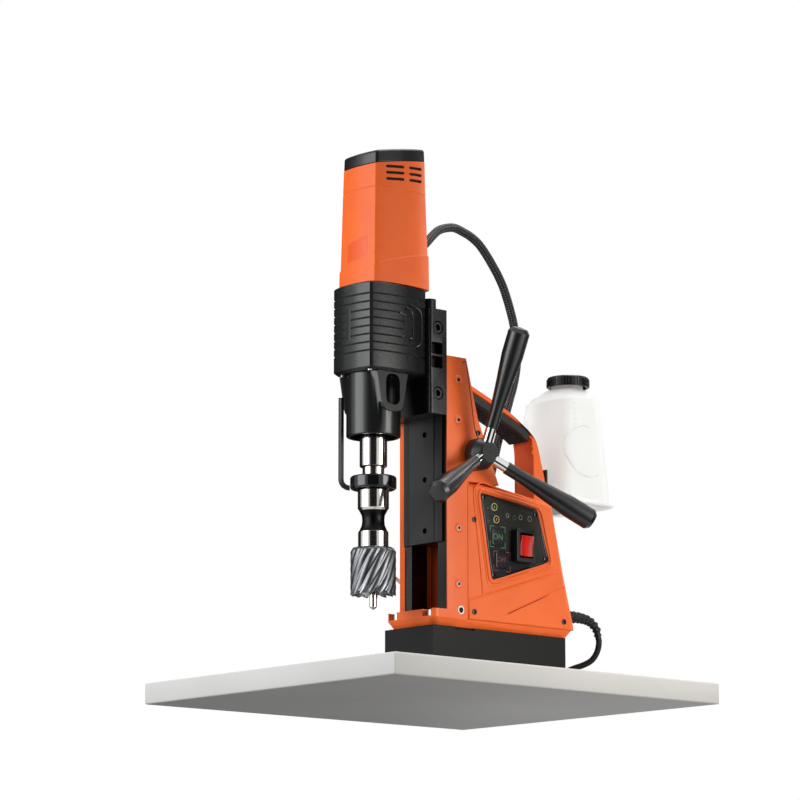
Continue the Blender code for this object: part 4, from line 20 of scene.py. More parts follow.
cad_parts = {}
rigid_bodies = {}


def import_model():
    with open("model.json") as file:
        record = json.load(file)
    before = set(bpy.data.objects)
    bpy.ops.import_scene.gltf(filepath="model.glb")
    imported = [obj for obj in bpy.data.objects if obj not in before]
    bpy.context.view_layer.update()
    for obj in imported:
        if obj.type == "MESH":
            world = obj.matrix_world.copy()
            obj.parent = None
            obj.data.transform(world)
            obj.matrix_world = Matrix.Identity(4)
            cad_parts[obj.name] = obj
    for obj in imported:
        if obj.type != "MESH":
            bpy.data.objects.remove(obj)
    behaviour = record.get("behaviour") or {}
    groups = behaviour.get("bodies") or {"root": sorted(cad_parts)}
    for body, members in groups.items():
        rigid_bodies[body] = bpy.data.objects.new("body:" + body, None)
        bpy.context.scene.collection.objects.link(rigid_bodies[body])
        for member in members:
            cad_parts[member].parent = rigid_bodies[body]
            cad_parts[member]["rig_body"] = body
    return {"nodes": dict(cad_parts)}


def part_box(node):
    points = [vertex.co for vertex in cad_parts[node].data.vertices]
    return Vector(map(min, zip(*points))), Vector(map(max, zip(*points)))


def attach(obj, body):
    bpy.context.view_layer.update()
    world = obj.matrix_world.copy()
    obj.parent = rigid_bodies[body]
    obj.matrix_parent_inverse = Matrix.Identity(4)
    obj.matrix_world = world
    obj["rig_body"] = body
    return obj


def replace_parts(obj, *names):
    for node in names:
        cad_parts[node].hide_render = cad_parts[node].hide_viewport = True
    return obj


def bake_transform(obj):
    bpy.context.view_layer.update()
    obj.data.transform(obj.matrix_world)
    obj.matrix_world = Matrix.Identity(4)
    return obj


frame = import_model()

LOG = logging.getLogger("drill_press")
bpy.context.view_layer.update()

Point = Sequence[float]
Colour = tuple[float, float, float, float]
Mesh = bmesh.types.BMesh
Piece = bpy.types.Object


def tone(red: int, green: int, blue: int) -> Colour:
    """A colour from its screen values.

    Args:
        red: Screen value from 0 to 255.
        green: Screen value from 0 to 255.
        blue: Screen value from 0 to 255.

    Returns:
        The linear colour with full alpha.
    """
    parts = []
    for value in (red, green, blue):
        share = value / 255
        parts.append(share / 12.92 if share <= 0.04045 else ((share + 0.055) / 1.055) ** 2.4)
    return (*parts, 1.0)


class Signal:
    """A number socket that takes part in sums."""

    def __init__(self, nodes: "Nodes", socket: bpy.types.NodeSocket) -> None:
        """Keeps the socket and the nodes that it is among."""
        self.nodes = nodes
        self.socket = socket

    def __add__(self, other: "Number") -> "Signal":
        """The sum."""
        return self.nodes.maths("ADD", self, other)

    def __sub__(self, other: "Number") -> "Signal":
        """The difference."""
        return self.nodes.maths("SUBTRACT", self, other)

    def __rsub__(self, other: float) -> "Signal":
        """The difference from a plain number."""
        return self.nodes.maths("SUBTRACT", other, self)

    def __mul__(self, other: "Number") -> "Signal":
        """The product."""
        return self.nodes.maths("MULTIPLY", self, other)

    def __truediv__(self, other: "Number") -> "Signal":
        """The quotient."""
        return self.nodes.maths("DIVIDE", self, other)

    __radd__ = __add__
    __rmul__ = __mul__

    def sine(self) -> "Signal":
        """The sine, of radians."""
        return self.nodes.maths("SINE", self, 0.0)

    def size(self) -> "Signal":
        """The number without its sign."""
        return self.nodes.maths("ABSOLUTE", self, 0.0)

    def between(self, low: float, high: float) -> "Signal":
        """A soft step from 0 at low to 1 at high.

        Args:
            low: Where the step starts.
            high: Where the step ends.

        Returns:
            The share from 0 to 1.
        """
        made = self.nodes.node(
            "ShaderNodeMapRange", {"interpolation_type": "SMOOTHSTEP"},
            {"Value": self, "From Min": low, "From Max": high},
        )
        return Signal(self.nodes, made.outputs["Result"])


Number = Union[float, Signal]


class Nodes:
    """The nodes of a material or of the world."""

    def __init__(self, tree: bpy.types.NodeTree) -> None:
        """Starts with an empty tree."""
        self.tree = tree
        tree.nodes.clear()

    def node(
        self, kind: str, settings: Optional[dict] = None, inputs: Optional[dict] = None,
    ) -> Any:
        """Adds a node.

        Args:
            kind: The node's type.
            settings: Its own settings, set first.
            inputs: Values or links of its sockets, by name or number.

        Returns:
            The node.
        """
        made = self.tree.nodes.new(kind)
        for key, value in (settings or {}).items():
            setattr(made, key, value)
        for key, value in (inputs or {}).items():
            self.feed(made.inputs[key], value)
        return made

    def feed(self, socket: bpy.types.NodeSocket, value: Any) -> None:
        """Links a socket, or sets its value.

        Args:
            socket: The socket to fill.
            value: A signal, another socket or a plain value.
        """
        source = value.socket if isinstance(value, Signal) else value
        if isinstance(source, bpy.types.NodeSocket):
            self.tree.links.new(source, socket)
        else:
            socket.default_value = source

    def maths(self, operation: str, first: Number, second: Number) -> Signal:
        """Adds a Math node and returns its result."""
        made = self.node("ShaderNodeMath", {"operation": operation}, {0: first, 1: second})
        return Signal(self, made.outputs[0])


class Shader(Nodes):
    """Builds one material out of nodes."""

    def __init__(self, name: str) -> None:
        """Starts a material with one surface shader.

        Args:
            name: The material's name.
        """
        self.material = bpy.data.materials.new(name)
        self.material.use_nodes = True
        super().__init__(self.material.node_tree)
        self.skin = self.node("ShaderNodeBsdfPrincipled")
        self.node("ShaderNodeOutputMaterial", None, {"Surface": self.skin.outputs[0]})
        self.normal: Optional[bpy.types.NodeSocket] = None

    def axes(self, source: str = "Object") -> list[Signal]:
        """The three numbers of a coordinate.

        Args:
            source: The Texture Coordinate's output.

        Returns:
            Its X, Y and Z.
        """
        place = self.node("ShaderNodeTexCoord").outputs[source]
        split = self.node("ShaderNodeSeparateXYZ", None, {0: place})
        return [Signal(self, split.outputs[k]) for k in range(3)]

    def noise(self, scale: float, detail: float = 2.0, stretch: Point = (1, 1, 1)) -> Signal:
        """Cloudy noise on the object's own coordinates.

        Args:
            scale: Waves per metre.
            detail: Finer waves on top.
            stretch: Share of the scale along each axis.

        Returns:
            The noise, about 0.5 in the middle.
        """
        place = self.node("ShaderNodeMapping", None, {
            "Vector": self.node("ShaderNodeTexCoord").outputs["Object"], "Scale": stretch,
        })
        made = self.node("ShaderNodeTexNoise", {"noise_dimensions": "3D"}, {
            "Vector": place.outputs[0], "Scale": scale, "Detail": detail,
        })
        return Signal(self, made.outputs[0])

    def mix(self, share: Number, first: Any, second: Any) -> bpy.types.NodeSocket:
        """Mixes two colours.

        Args:
            share: How much of the second.
            first: A colour or a colour socket.
            second: A colour or a colour socket.

        Returns:
            The mixed colour's socket.
        """
        made = self.node("ShaderNodeMix", {"data_type": "RGBA"}, {0: share, 6: first, 7: second})
        return made.outputs[2]

    def bump(self, height: Signal, depth: float) -> None:
        """Lays a relief on the surface, over any relief laid before.

        Args:
            height: The relief, from 0 to 1.
            depth: Its depth in metres.
        """
        made = self.node("ShaderNodeBump", None, {
            "Height": height, "Distance": depth, "Strength": 1.0,
        })
        if self.normal is not None:
            self.feed(made.inputs["Normal"], self.normal)
        self.normal = made.outputs[0]
        self.feed(self.skin.inputs["Normal"], self.normal)

    def set(self, values: dict[str, Any]) -> None:
        """Sets or links the surface shader's sockets.

        Args:
            values: Values by the socket's name.
        """
        for name, value in values.items():
            self.feed(self.skin.inputs[name], value)


@dataclass(frozen=True)
class Finish:
    """A surface: its colour and the colour of its slow patches, its gloss, its grain."""

    name: str
    colour: Colour
    patch: Colour
    roughness: tuple[float, float] = (0.35, 0.45)
    metallic: float = 0.0
    specular: float = 0.36
    coat: float = 0.0
    grain: float = 900.0
    depth: float = 0.00002
    stretch: tuple[float, float, float] = (1.0, 1.0, 1.0)
    patches: float = 30.0

    def make(self) -> bpy.types.Material:
        """Builds the material.

        Returns:
            The material.
        """
        shader = Shader(self.name)
        slow = shader.noise(self.patches, 4.0)
        fine = shader.noise(self.grain, 2.0, self.stretch)
        low, high = self.roughness
        shader.set({
            "Base Color": self.patched(shader, slow),
            "Roughness": low + (high - low) * (slow * 0.6 + fine * 0.4),
            "Metallic": self.metallic,
            "Specular IOR Level": self.specular,
            "Coat Weight": self.coat,
            "Coat Roughness": 0.08,
        })
        shader.bump(fine, self.depth)
        self.enrich(shader, slow, fine)
        return shader.material

    def patched(self, shader: Shader, slow: Signal) -> bpy.types.NodeSocket:
        """The finish's colour with its slow patches."""
        return shader.mix(slow.between(0.35, 0.7), self.colour, self.patch)

    def enrich(self, shader: Shader, slow: Signal, fine: Signal) -> None:
        """Adds what only this finish has; a plain one adds nothing."""


@dataclass(frozen=True)
class Enamel(Finish):
    """Sprayed enamel or textured moulding: a fine orange peel."""

    def enrich(self, shader: Shader, slow: Signal, fine: Signal) -> None:
        """Adds the wide, low waves of the sprayed skin."""
        shader.bump(shader.noise(self.grain * 0.3, 1.0), self.depth * 2.5)


@dataclass(frozen=True)
class Casting(Finish):
    """Satin black on a cast skin, rubbed on its high spots."""

    rubbed: Colour = (0.05, 0.05, 0.052, 1.0)

    def enrich(self, shader: Shader, slow: Signal, fine: Signal) -> None:
        """Adds rubbed specks and a coarse cast skin.

        Args:
            shader: The material.
            slow: Its slow patches.
            fine: Its fine grain; not used.
        """
        coarse = shader.noise(self.grain * 0.35, 3.0)
        skin = self.patched(shader, slow)
        shader.set({"Base Color": shader.mix(coarse.between(0.62, 0.75), skin, self.rubbed)})
        shader.bump(coarse, self.depth * 2.0)


@dataclass(frozen=True)
class GroovedCasting(Casting):
    """Cast skin with level grooves from a first height down to a last, dull in them and darkened
    there as painted shade.
    """

    first: float = 0.4090
    last: float = 0.3453
    pitch: float = 0.0091
    back: float = -0.1180
    near: float = 0.0020
    far: float = 0.0030
    fade: float = 0.0050
    flank: tuple[float, float] = (0.16, 0.34)
    dull: float = 0.85
    dark: Colour = (0.0012, 0.0012, 0.0012, 1.0)

    def enrich(self, shader: Shader, slow: Signal, fine: Signal) -> None:
        """Adds the dull grooves to the cast skin, with painted shade in them.

        Args:
            shader: The material.
            slow: Its slow patches.
            fine: Its fine grain.
        """
        super().enrich(shader, slow, fine)
        sockets = shader.skin.inputs
        worn = sockets["Base Color"].links[0].from_socket
        rough = Signal(shader, sockets["Roughness"].links[0].from_socket)
        _, along, up = shader.axes()
        away = ((up - self.first) * (math.pi / self.pitch)).sine().size()
        above = up.between(self.last - self.far, self.last - self.near)
        over = up.between(self.first + self.near, self.first + self.far)
        behind = along.between(self.back - self.fade, self.back + self.fade)
        groove = (1 - away.between(*self.flank)) * above * (1 - over) * (1 - behind)
        # Painted shade: the grooves are darkened towards the dark colour, as well as made rougher.
        shader.set({
            "Base Color": shader.mix(groove, worn, self.dark),
            "Roughness": rough * (1 - groove) + groove * self.dull,
        })


@dataclass(frozen=True)
class Braid(Finish):
    """Woven sleeve: two sets of strands that cross along the tube's own UV map."""

    strands: int = 10
    pitch: float = 0.0058
    crossing_highlight: Colour = (0.22, 0.22, 0.215, 1.0)

    def enrich(self, shader: Shader, slow: Signal, fine: Signal) -> None:
        """Adds the weave's relief, and a painted highlight that turns its crossings pale.

        Args:
            shader: The material.
            slow: Its slow patches; not used.
            fine: Its fine grain; not used.
        """
        around, along, _ = shader.axes("UV")
        turn = around * (math.tau * self.strands / 2)
        climb = along * (math.tau / self.pitch)
        weave = (turn + climb).sine() * (turn - climb).sine()
        # Painted highlight: pale colour on the crossings, where the weave would catch the light.
        skin = shader.mix(weave.between(0.55, 0.95), self.colour, self.crossing_highlight)
        shader.set({"Base Color": skin, "Roughness": 0.62 - weave * 0.12})
        shader.bump(weave * 0.5 + 0.5, 0.0007)


@dataclass(frozen=True)
class FilmWithPaintedReflection(Finish):
    """The panel's film: dark at its lower front corner, with a painted reflection that turns it
    olive grey towards its upper back one.
    """

    start: tuple[float, float] = (-0.02, 0.115)
    end: tuple[float, float] = (0.060, 0.215)
    pale: Colour = (0.075, 0.072, 0.060, 1.0)

    def enrich(self, shader: Shader, slow: Signal, fine: Signal) -> None:
        """Adds the painted reflection across the film.

        Args:
            shader: The material.
            slow: Its slow patches.
            fine: Its fine grain; not used.
        """
        _, along, up = shader.axes()
        (y0, z0), (y1, z1) = self.start, self.end
        span = (y1 - y0) ** 2 + (z1 - z0) ** 2
        share = ((along - y0) * (y1 - y0) + (up - z0) * (z1 - z0)) / span
        # Painted reflection: the film is lightened towards its upper back corner.
        shade = (share + (slow - 0.5) * 0.06).between(0.25, 1.05)
        shader.set({"Base Color": shader.mix(shade, self.colour, self.pale)})


@dataclass(frozen=True)
class Lens(Finish):
    """Clear red moulding with a lamp behind its middle."""

    centre: tuple[float, float] = (0.0302, 0.1473)
    glow: Colour = (1.0, 0.012, 0.004, 1.0)

    def enrich(self, shader: Shader, slow: Signal, fine: Signal) -> None:
        """Adds the lamp's streak and the paler side away from it.

        Args:
            shader: The material.
            slow: Its slow patches; not used.
            fine: Its fine grain; not used.
        """
        _, along, up = shader.axes()
        off = (along - self.centre[0] + (up - self.centre[1]) * 0.12).size()
        lamp = 1 - off.between(0.0005, 0.0042)
        shader.set({
            "Base Color": shader.mix((along - self.centre[0]).between(0.001, 0.006),
                                     self.colour, self.patch),
            "Emission Color": shader.mix(lamp, (0.10, 0.0, 0.0, 1.0), self.glow),
            "Emission Strength": 0.3,
        })


@dataclass(frozen=True)
class Milky(Finish):
    """Blown, see-through plastic that scatters the light."""

    through: float = 0.5

    def enrich(self, shader: Shader, slow: Signal, fine: Signal) -> None:
        """Lets light through."""
        shader.set({"Transmission Weight": self.through, "IOR": 1.08, "Specular IOR Level": 0.5})


@dataclass(frozen=True)
class LabelPlace(Enamel):
    """Moulding with a smooth, bare place for a label on its front."""

    middle: tuple[float, float] = (0.00225, 0.4627)
    width: float = 0.0323
    height: float = 0.0208
    slope: float = 0.18
    front: float = -0.160
    label: Colour = tone(232, 88, 28)

    def enrich(self, shader: Shader, slow: Signal, fine: Signal) -> None:
        """Adds the label place, a skewed oblong.

        Args:
            shader: The material.
            slow: Its slow patches.
            fine: Its fine grain.
        """
        across, along, up = shader.axes()
        side = (across - self.middle[0]).size() / self.width
        rise = (up - self.middle[1] - (across - self.middle[0]) * self.slope).size() / self.height
        behind = along.between(self.front, self.front + 0.001)
        place = (1 - side.between(0.494, 0.506)) * (1 - rise.between(0.49, 0.51)) * (1 - behind)
        skin = self.patched(shader, slow)
        shader.set({
            "Base Color": shader.mix(place, skin, self.label),
            "Roughness": 0.44 - place * 0.10 + fine * 0.04,
        })
        shader.bump(1 - place, 0.0002)


@dataclass(frozen=True)
class Waisted(Finish):
    """Bright turned steel with a blackened waist."""

    low: float = 0.1502
    high: float = 0.1738
    soft: float = 0.0003
    dark: Colour = (0.012, 0.012, 0.013, 1.0)

    def enrich(self, shader: Shader, slow: Signal, fine: Signal) -> None:
        """Adds the blackened waist between two heights.

        Args:
            shader: The material.
            slow: Its slow patches.
            fine: Its fine grain.
        """
        _, _, up = shader.axes()
        above = up.between(self.low - self.soft, self.low + self.soft)
        over = up.between(self.high - self.soft, self.high + self.soft)
        waist = above * (1 - over)
        bright = self.patched(shader, slow)
        shader.set({
            "Base Color": shader.mix(waist, bright, self.dark),
            "Roughness": 0.12 + waist * 0.2 + fine * 0.04,
        })


def ink(name: str, colour: Colour, patch: Colour) -> Finish:
    """A printing ink."""
    return Finish(name, colour, patch, (0.4, 0.5), grain=3000.0, depth=0.000004)


class Look(Enum):
    """Every finish of the machine."""

    ORANGE_ENAMEL = Enamel(
        "orange_enamel", tone(239, 104, 37), tone(235, 99, 34), (0.34, 0.44), specular=0.35,
        grain=2200.0, depth=0.000012,
    )
    ORANGE_SHELL = Enamel(
        "orange_moulding", tone(239, 106, 38), tone(235, 101, 35), (0.40, 0.50), specular=0.3,
        grain=3000.0, depth=0.00002,
    )
    MOTOR_SHELL = LabelPlace(
        "motor_moulding", tone(239, 104, 38), tone(235, 99, 35), (0.40, 0.50), specular=0.3,
        grain=3000.0, depth=0.00002,
    )
    # Painted shade: a darker copy of the orange enamel, for the channel's floor and the cover's
    # groove.
    ORANGE_PAINTED_SHADE = Enamel(
        "shaded_orange", tone(132, 42, 14), tone(124, 38, 12), (0.5, 0.6), specular=0.15,
        grain=3000.0, depth=0.00001,
    )
    BLACK_CASTING = Casting(
        "black_casting", tone(19, 20, 21), tone(15, 16, 17), (0.22, 0.33), grain=1900.0,
        depth=0.00003,
    )
    # The gear case's grooves carry painted shade.
    GROOVED_CASTING = GroovedCasting(
        "grooved_casting", tone(19, 20, 21), tone(15, 16, 17), (0.22, 0.33), grain=1900.0,
        depth=0.00003,
    )
    BLACK_MAGNET = Casting(
        "black_magnet", tone(11, 12, 11), tone(9, 10, 9), (0.46, 0.56), specular=0.18, grain=1300.0,
        depth=0.00002, rubbed=(0.012, 0.012, 0.012, 1.0),
    )
    BLACK_TUBE = Casting(
        "black_tube", tone(18, 19, 20), tone(15, 16, 17), (0.25, 0.34), coat=0.15, grain=2200.0,
        depth=0.000018, rubbed=(0.02, 0.021, 0.022, 1.0),
    )
    BLACK_STEEL = Casting(
        "blackened_steel", tone(20, 20, 20), tone(17, 17, 17), (0.28, 0.38), grain=1500.0,
        depth=0.000015, rubbed=(0.035, 0.035, 0.035, 1.0),
    )
    BLACK_GLOSS = Finish(
        "blued_steel", tone(34, 35, 40), tone(28, 29, 34), (0.12, 0.18), metallic=0.55, coat=0.5,
        grain=2500.0, depth=0.000004, stretch=(0.05, 0.05, 1.0),
    )
    BLACK_PLASTIC = Enamel(
        "black_moulding", tone(17, 17, 18), tone(14, 14, 15), (0.28, 0.38), grain=2800.0,
        depth=0.000015,
    )
    GRIP = Enamel(
        "grip_moulding", tone(20, 20, 21), tone(17, 17, 18), (0.28, 0.36), specular=0.5, coat=0.1,
        grain=2400.0, depth=0.000008,
    )
    RUBBER = Enamel(
        "black_rubber", tone(18, 18, 18), tone(15, 15, 15), (0.5, 0.62), grain=2600.0,
        depth=0.00003,
    )
    BRIGHT_STEEL = Finish(
        "turned_steel", tone(205, 201, 194), tone(192, 188, 182), (0.10, 0.17), metallic=1.0,
        grain=3800.0, depth=0.0000025, stretch=(0.02, 0.02, 1.0),
    )
    WAISTED_STEEL = Waisted(
        "waisted_steel", tone(205, 201, 194), tone(192, 188, 182), metallic=1.0,
        grain=3800.0, depth=0.0000025, stretch=(0.02, 0.02, 1.0),
    )
    CHROME = Finish(
        "chrome", tone(226, 226, 226), tone(219, 219, 220), (0.05, 0.09), metallic=1.0,
        grain=900.0, depth=0.000001,
    )
    GROUND_STEEL = Finish(
        "ground_steel", tone(128, 130, 132), tone(98, 99, 102), (0.30, 0.42), metallic=1.0,
        grain=2600.0, depth=0.000008, stretch=(1.0, 1.0, 0.25),
    )
    ZINC = Finish(
        "zinc_plate", tone(188, 189, 190), tone(158, 159, 162), (0.28, 0.42), metallic=1.0,
        grain=1400.0, depth=0.00001,
    )
    BRONZE = Finish(
        "bearing_bronze", tone(176, 141, 92), tone(152, 116, 70), (0.26, 0.38), metallic=1.0,
        grain=2600.0, depth=0.000006,
    )
    WINDING = Finish(
        "copper_winding", tone(150, 84, 48), tone(120, 62, 34), (0.32, 0.5), metallic=0.7,
        grain=1600.0, depth=0.00008, stretch=(1.0, 1.0, 0.1),
    )
    BOARD = Finish(
        "circuit_laminate", tone(28, 92, 52), tone(20, 74, 42), (0.35, 0.5), grain=1200.0,
        depth=0.00001,
    )
    # Painted reflection: the film, on the panel and on its keys, is lightened towards its upper
    # back corner.
    PANEL = FilmWithPaintedReflection(
        "panel_film", tone(24, 26, 27), tone(21, 23, 24), (0.16, 0.22), specular=0.5, coat=0.3,
        grain=4200.0, depth=0.000008,
    )
    LENS = Lens(
        "red_lens", tone(176, 18, 14), tone(190, 84, 78), (0.16, 0.24), specular=0.5, coat=0.4,
        grain=600.0, depth=0.000003,
    )
    BOTTLE = Milky(
        "bottle_plastic", tone(248, 249, 248), tone(245, 246, 245), (0.42, 0.5), grain=500.0,
        depth=0.00004, through=0.78,
    )
    HOSE = Milky(
        "hose_plastic", tone(236, 232, 222), tone(226, 221, 210), (0.25, 0.35), grain=900.0,
        depth=0.00001, through=0.4,
    )
    SLEEVE = Braid(
        "woven_sleeve", tone(21, 21, 22), tone(18, 18, 19), (0.45, 0.55), grain=3000.0,
        depth=0.00002,
    )
    GREEN_INK = ink("green_ink", tone(52, 122, 76), tone(46, 112, 68))
    RED_INK = ink("red_ink", tone(112, 36, 34), tone(102, 32, 30))
    YELLOW_INK = ink("yellow_ink", tone(206, 196, 124), tone(194, 184, 112))
    GREY_INK = ink("grey_ink", tone(176, 176, 170), tone(164, 164, 158))
    # Black for the studio flags and the gib screw heads, and painted shade in the cross hole, along
    # the column's seam, in the hub's dimple and behind the vents.
    BLACK_AND_PAINTED_SHADE = Finish(
        "black_and_painted_shade", tone(12, 12, 12), tone(9, 9, 9), (0.55, 0.7), specular=0.2, grain=1500.0,
        depth=0.00002,
    )
    SLAB = Enamel(
        "pale_slab", tone(214, 213, 210), tone(208, 207, 204), (0.5, 0.6), specular=0.3,
        grain=160.0, depth=0.0001, patches=4.0,
    )


class Paint:
    """Makes each finish's material once."""

    made: dict[Look, bpy.types.Material] = {}

    @classmethod
    def of(cls, look: Look) -> bpy.types.Material:
        """The material of a finish.

        Args:
            look: The finish.

        Returns:
            Its material, the same one each time.
        """
        if look not in cls.made:
            cls.made[look] = look.value.make()
        return cls.made[look]


UP = Vector((0, 0, 1))
RIGHT = Vector((1, 0, 0))
BACK = Vector((0, 1, 0))
COVER, PANEL = "side_cover_right", "control_panel"
SHARP = math.radians(34)
ROUND = 60.0


def axis_frame(at: Point, way: Vector) -> Matrix:
    """The frame at a place whose Z runs along a way.

    Args:
        at: The place.
        way: The direction of Z.

    Returns:
        The frame as a matrix.
    """
    return Matrix.Translation(at) @ Vector(way).to_track_quat("Z", "Y").to_matrix().to_4x4()


def on_side(at: Point) -> Matrix:
    """The frame of a print on the right side: X to the back, Y up, Z out to the right."""
    turn = Matrix(((0, 0, 1), (1, 0, 0), (0, 1, 0))).to_4x4()
    return Matrix.Translation(at) @ turn


def settle(
    bm: Mesh, name: str, look: Look, body: str, smooth: float = 40.0,
) -> Piece:
    """Turns a bmesh into a piece that rides on a body.

    Args:
        bm: The finished shape, in place.
        name: The piece's name.
        look: Its finish.
        body: The body that it moves with.
        smooth: Edges flatter than this many degrees are shaded smooth.

    Returns:
        The piece.
    """
    mesh = bpy.data.meshes.new(name)
    bm.to_mesh(mesh)
    bm.free()
    mesh.shade_smooth()
    mesh.set_sharp_from_angle(angle=math.radians(smooth))
    mesh.materials.append(Paint.of(look))
    made = bpy.data.objects.new(name, mesh)
    bpy.context.scene.collection.objects.link(made)
    if body:
        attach(made, body)
    LOG.info("%s: %d faces, %s", name, len(mesh.polygons), look.value.name)
    return made


def closed(bm: Mesh) -> Mesh:
    """Merges doubles and turns all faces outwards.

    Args:
        bm: The shape.

    Returns:
        The same shape.
    """
    bmesh.ops.remove_doubles(bm, verts=bm.verts, dist=1e-6)
    bmesh.ops.recalc_face_normals(bm, faces=bm.faces)
    return bm


def rounded(
    bm: Mesh, edges: Sequence[bmesh.types.BMEdge], width: float, segments: int = 2,
) -> None:
    """Rounds edges of a shape.

    Args:
        bm: The shape.
        edges: The edges.
        width: The rounding's width.
        segments: Steps of the rounding.
    """
    bmesh.ops.bevel(
        bm, geom=edges, offset=width, offset_type="OFFSET", affect="EDGES", segments=segments,
        profile=0.5, material=-1, clamp_overlap=True,
    )


def turned(profile: Sequence[Point], at: Point, way: Vector, steps: int = 32) -> Mesh:
    """A shape turned about an axis.

    Args:
        profile: Pairs of radius and height along the axis.
        at: Where the axis starts.
        way: The axis's direction.
        steps: Steps round the axis.

    Returns:
        The shape.
    """
    bm = bmesh.new()
    verts = [bm.verts.new((radius, 0, height)) for radius, height in profile]
    edges = [bm.edges.new(pair) for pair in zip(verts, verts[1:])]
    bmesh.ops.spin(
        bm, geom=verts + edges, cent=(0, 0, 0), axis=(0, 0, 1), angle=math.tau, steps=steps,
        use_merge=True,
    )
    closed(bm)
    bmesh.ops.transform(bm, matrix=axis_frame(at, way), verts=bm.verts)
    return bm


def block(size: Point, at: Matrix, edge: float = 0.0, segments: int = 2) -> Mesh:
    """A box with rounded edges.

    Args:
        size: Its three sizes.
        at: Its middle and turn.
        edge: The rounding's width.
        segments: Steps of the rounding.

    Returns:
        The shape.
    """
    bm = bmesh.new()
    bmesh.ops.create_cube(bm, size=1.0, matrix=Matrix.Diagonal((*size, 1.0)))
    if edge:
        rounded(bm, list(bm.edges), edge, segments)
    bmesh.ops.transform(bm, matrix=at, verts=bm.verts)
    return bm


def gathered(parts: Sequence[Mesh]) -> Mesh:
    """Puts several shapes into one.

    Args:
        parts: The shapes, which are used up.

    Returns:
        One shape with all of them.
    """
    whole = bmesh.new()
    for part in parts:
        mesh = bpy.data.meshes.new("part")
        part.to_mesh(mesh)
        part.free()
        whole.from_mesh(mesh)
        bpy.data.meshes.remove(mesh)
    return whole


def smooth_path(knots: Sequence[Point], spacing: float = 0.003) -> list[Vector]:
    """Points at a steady spacing on a smooth curve through knots.

    Args:
        knots: The points that the curve passes.
        spacing: The wanted distance between the points.

    Returns:
        The points, with both ends.
    """
    line = [Vector(knot) for knot in knots]
    line = [2 * line[0] - line[1]] + line + [2 * line[-1] - line[-2]]
    dense = []
    parts = 24
    for a, b, c, d in zip(line, line[1:], line[2:], line[3:]):
        for k in range(parts):
            t = k / parts
            dense.append(0.5 * (
                2 * b + (c - a) * t + (2 * a - 5 * b + 4 * c - d) * t ** 2
                + (3 * b - a - 3 * c + d) * t ** 3
            ))
    dense.append(line[-2])
    total = sum((b - a).length for a, b in zip(dense, dense[1:]))
    count = max(2, round(total / spacing))
    made = [dense[0]]
    walked = 0.0
    for a, b in zip(dense, dense[1:]):
        step = (b - a).length
        while len(made) < count and walked + step >= total * len(made) / count:
            made.append(a.lerp(b, (total * len(made) / count - walked) / step))
        walked += step
    made.append(dense[-1])
    return made


def swept(path: Sequence[Vector], radius: float, sides: int) -> Mesh:
    """A tube along a path, with a UV map of the turn round it and the metres along it.

    Args:
        path: The middle line.
        radius: The tube's radius.
        sides: Sides of its section.

    Returns:
        The closed tube.
    """
    bm = bmesh.new()
    side = bm.verts.layers.int.new("side")
    row = bm.verts.layers.int.new("row")
    uv = bm.loops.layers.uv.new("UVMap")
    start = (path[1] - path[0]).normalized()
    turn = start.to_track_quat("Z", "Y")
    made = bmesh.ops.create_circle(bm, cap_ends=False, radius=radius, segments=sides)["verts"]
    here = Matrix.Translation(path[0]) @ turn.to_matrix().to_4x4()
    bmesh.ops.transform(bm, matrix=here, verts=made)
    for k, vert in enumerate(made):
        vert[side] = k
    first = edges = list(bm.edges)
    lengths = [0.0]
    for k in range(1, len(path)):
        ahead = path[min(k + 1, len(path) - 1)] - path[k - 1]
        turn = turn.to_matrix().col[2].rotation_difference(ahead.normalized()) @ turn
        there = Matrix.Translation(path[k]) @ turn.to_matrix().to_4x4()
        new = bmesh.ops.extrude_edge_only(bm, edges=edges)["geom"]
        verts = [x for x in new if isinstance(x, bmesh.types.BMVert)]
        edges = [x for x in new if isinstance(x, bmesh.types.BMEdge)]
        bmesh.ops.transform(bm, matrix=there @ here.inverted(), verts=verts)
        for vert in verts:
            vert[row] = k
        here = there
        lengths.append(lengths[-1] + (path[k] - path[k - 1]).length)
    for face in bm.faces:
        numbers = {loop.vert[side] for loop in face.loops}
        wraps = 0 in numbers and sides - 1 in numbers
        for loop in face.loops:
            place = loop.vert[side]
            place = sides if wraps and place == 0 else place
            loop[uv].uv = (place / sides, lengths[loop.vert[row]])
    bmesh.ops.holes_fill(bm, edges=first + edges, sides=sides)
    bmesh.ops.recalc_face_normals(bm, faces=bm.faces)
    return bm


def screw(at: Point, way: Vector, radius: float, rise: float, socket: float) -> Mesh:
    """A socket head with a chamfered rim and a six-sided hole.

    Args:
        at: The middle of its seat.
        way: The way that it faces.
        radius: The head's radius.
        rise: The head's height.
        socket: The hole's share of the radius.

    Returns:
        The shape.
    """
    bm = bmesh.new()
    bmesh.ops.create_circle(bm, cap_ends=True, radius=radius, segments=24)
    (face,) = bm.faces
    shoulder, rim, floor = 0.86, 0.88, 0.3
    levels = [
        (shoulder * rise, 1.0, False),
        (rise, rim, False),
        (rise, socket / rim, True),
        (floor * rise, 1.0, False),
    ]
    height = 0.0
    for level, share, hexagon in levels:
        face = bmesh.ops.extrude_discrete_faces(bm, faces=[face])["faces"][0]
        bmesh.ops.scale(bm, vec=(share, share, 1), verts=face.verts)
        bmesh.ops.translate(bm, vec=(0, 0, level - height), verts=face.verts)
        height = level
        if hexagon:
            for vert in face.verts:
                spread = math.atan2(vert.co.y, vert.co.x) % (math.pi / 3) - math.pi / 6
                vert.co.xy *= math.cos(math.pi / 6) / math.cos(spread)
    closed(bm)
    bmesh.ops.transform(bm, matrix=axis_frame(at, way), verts=bm.verts)
    return bm


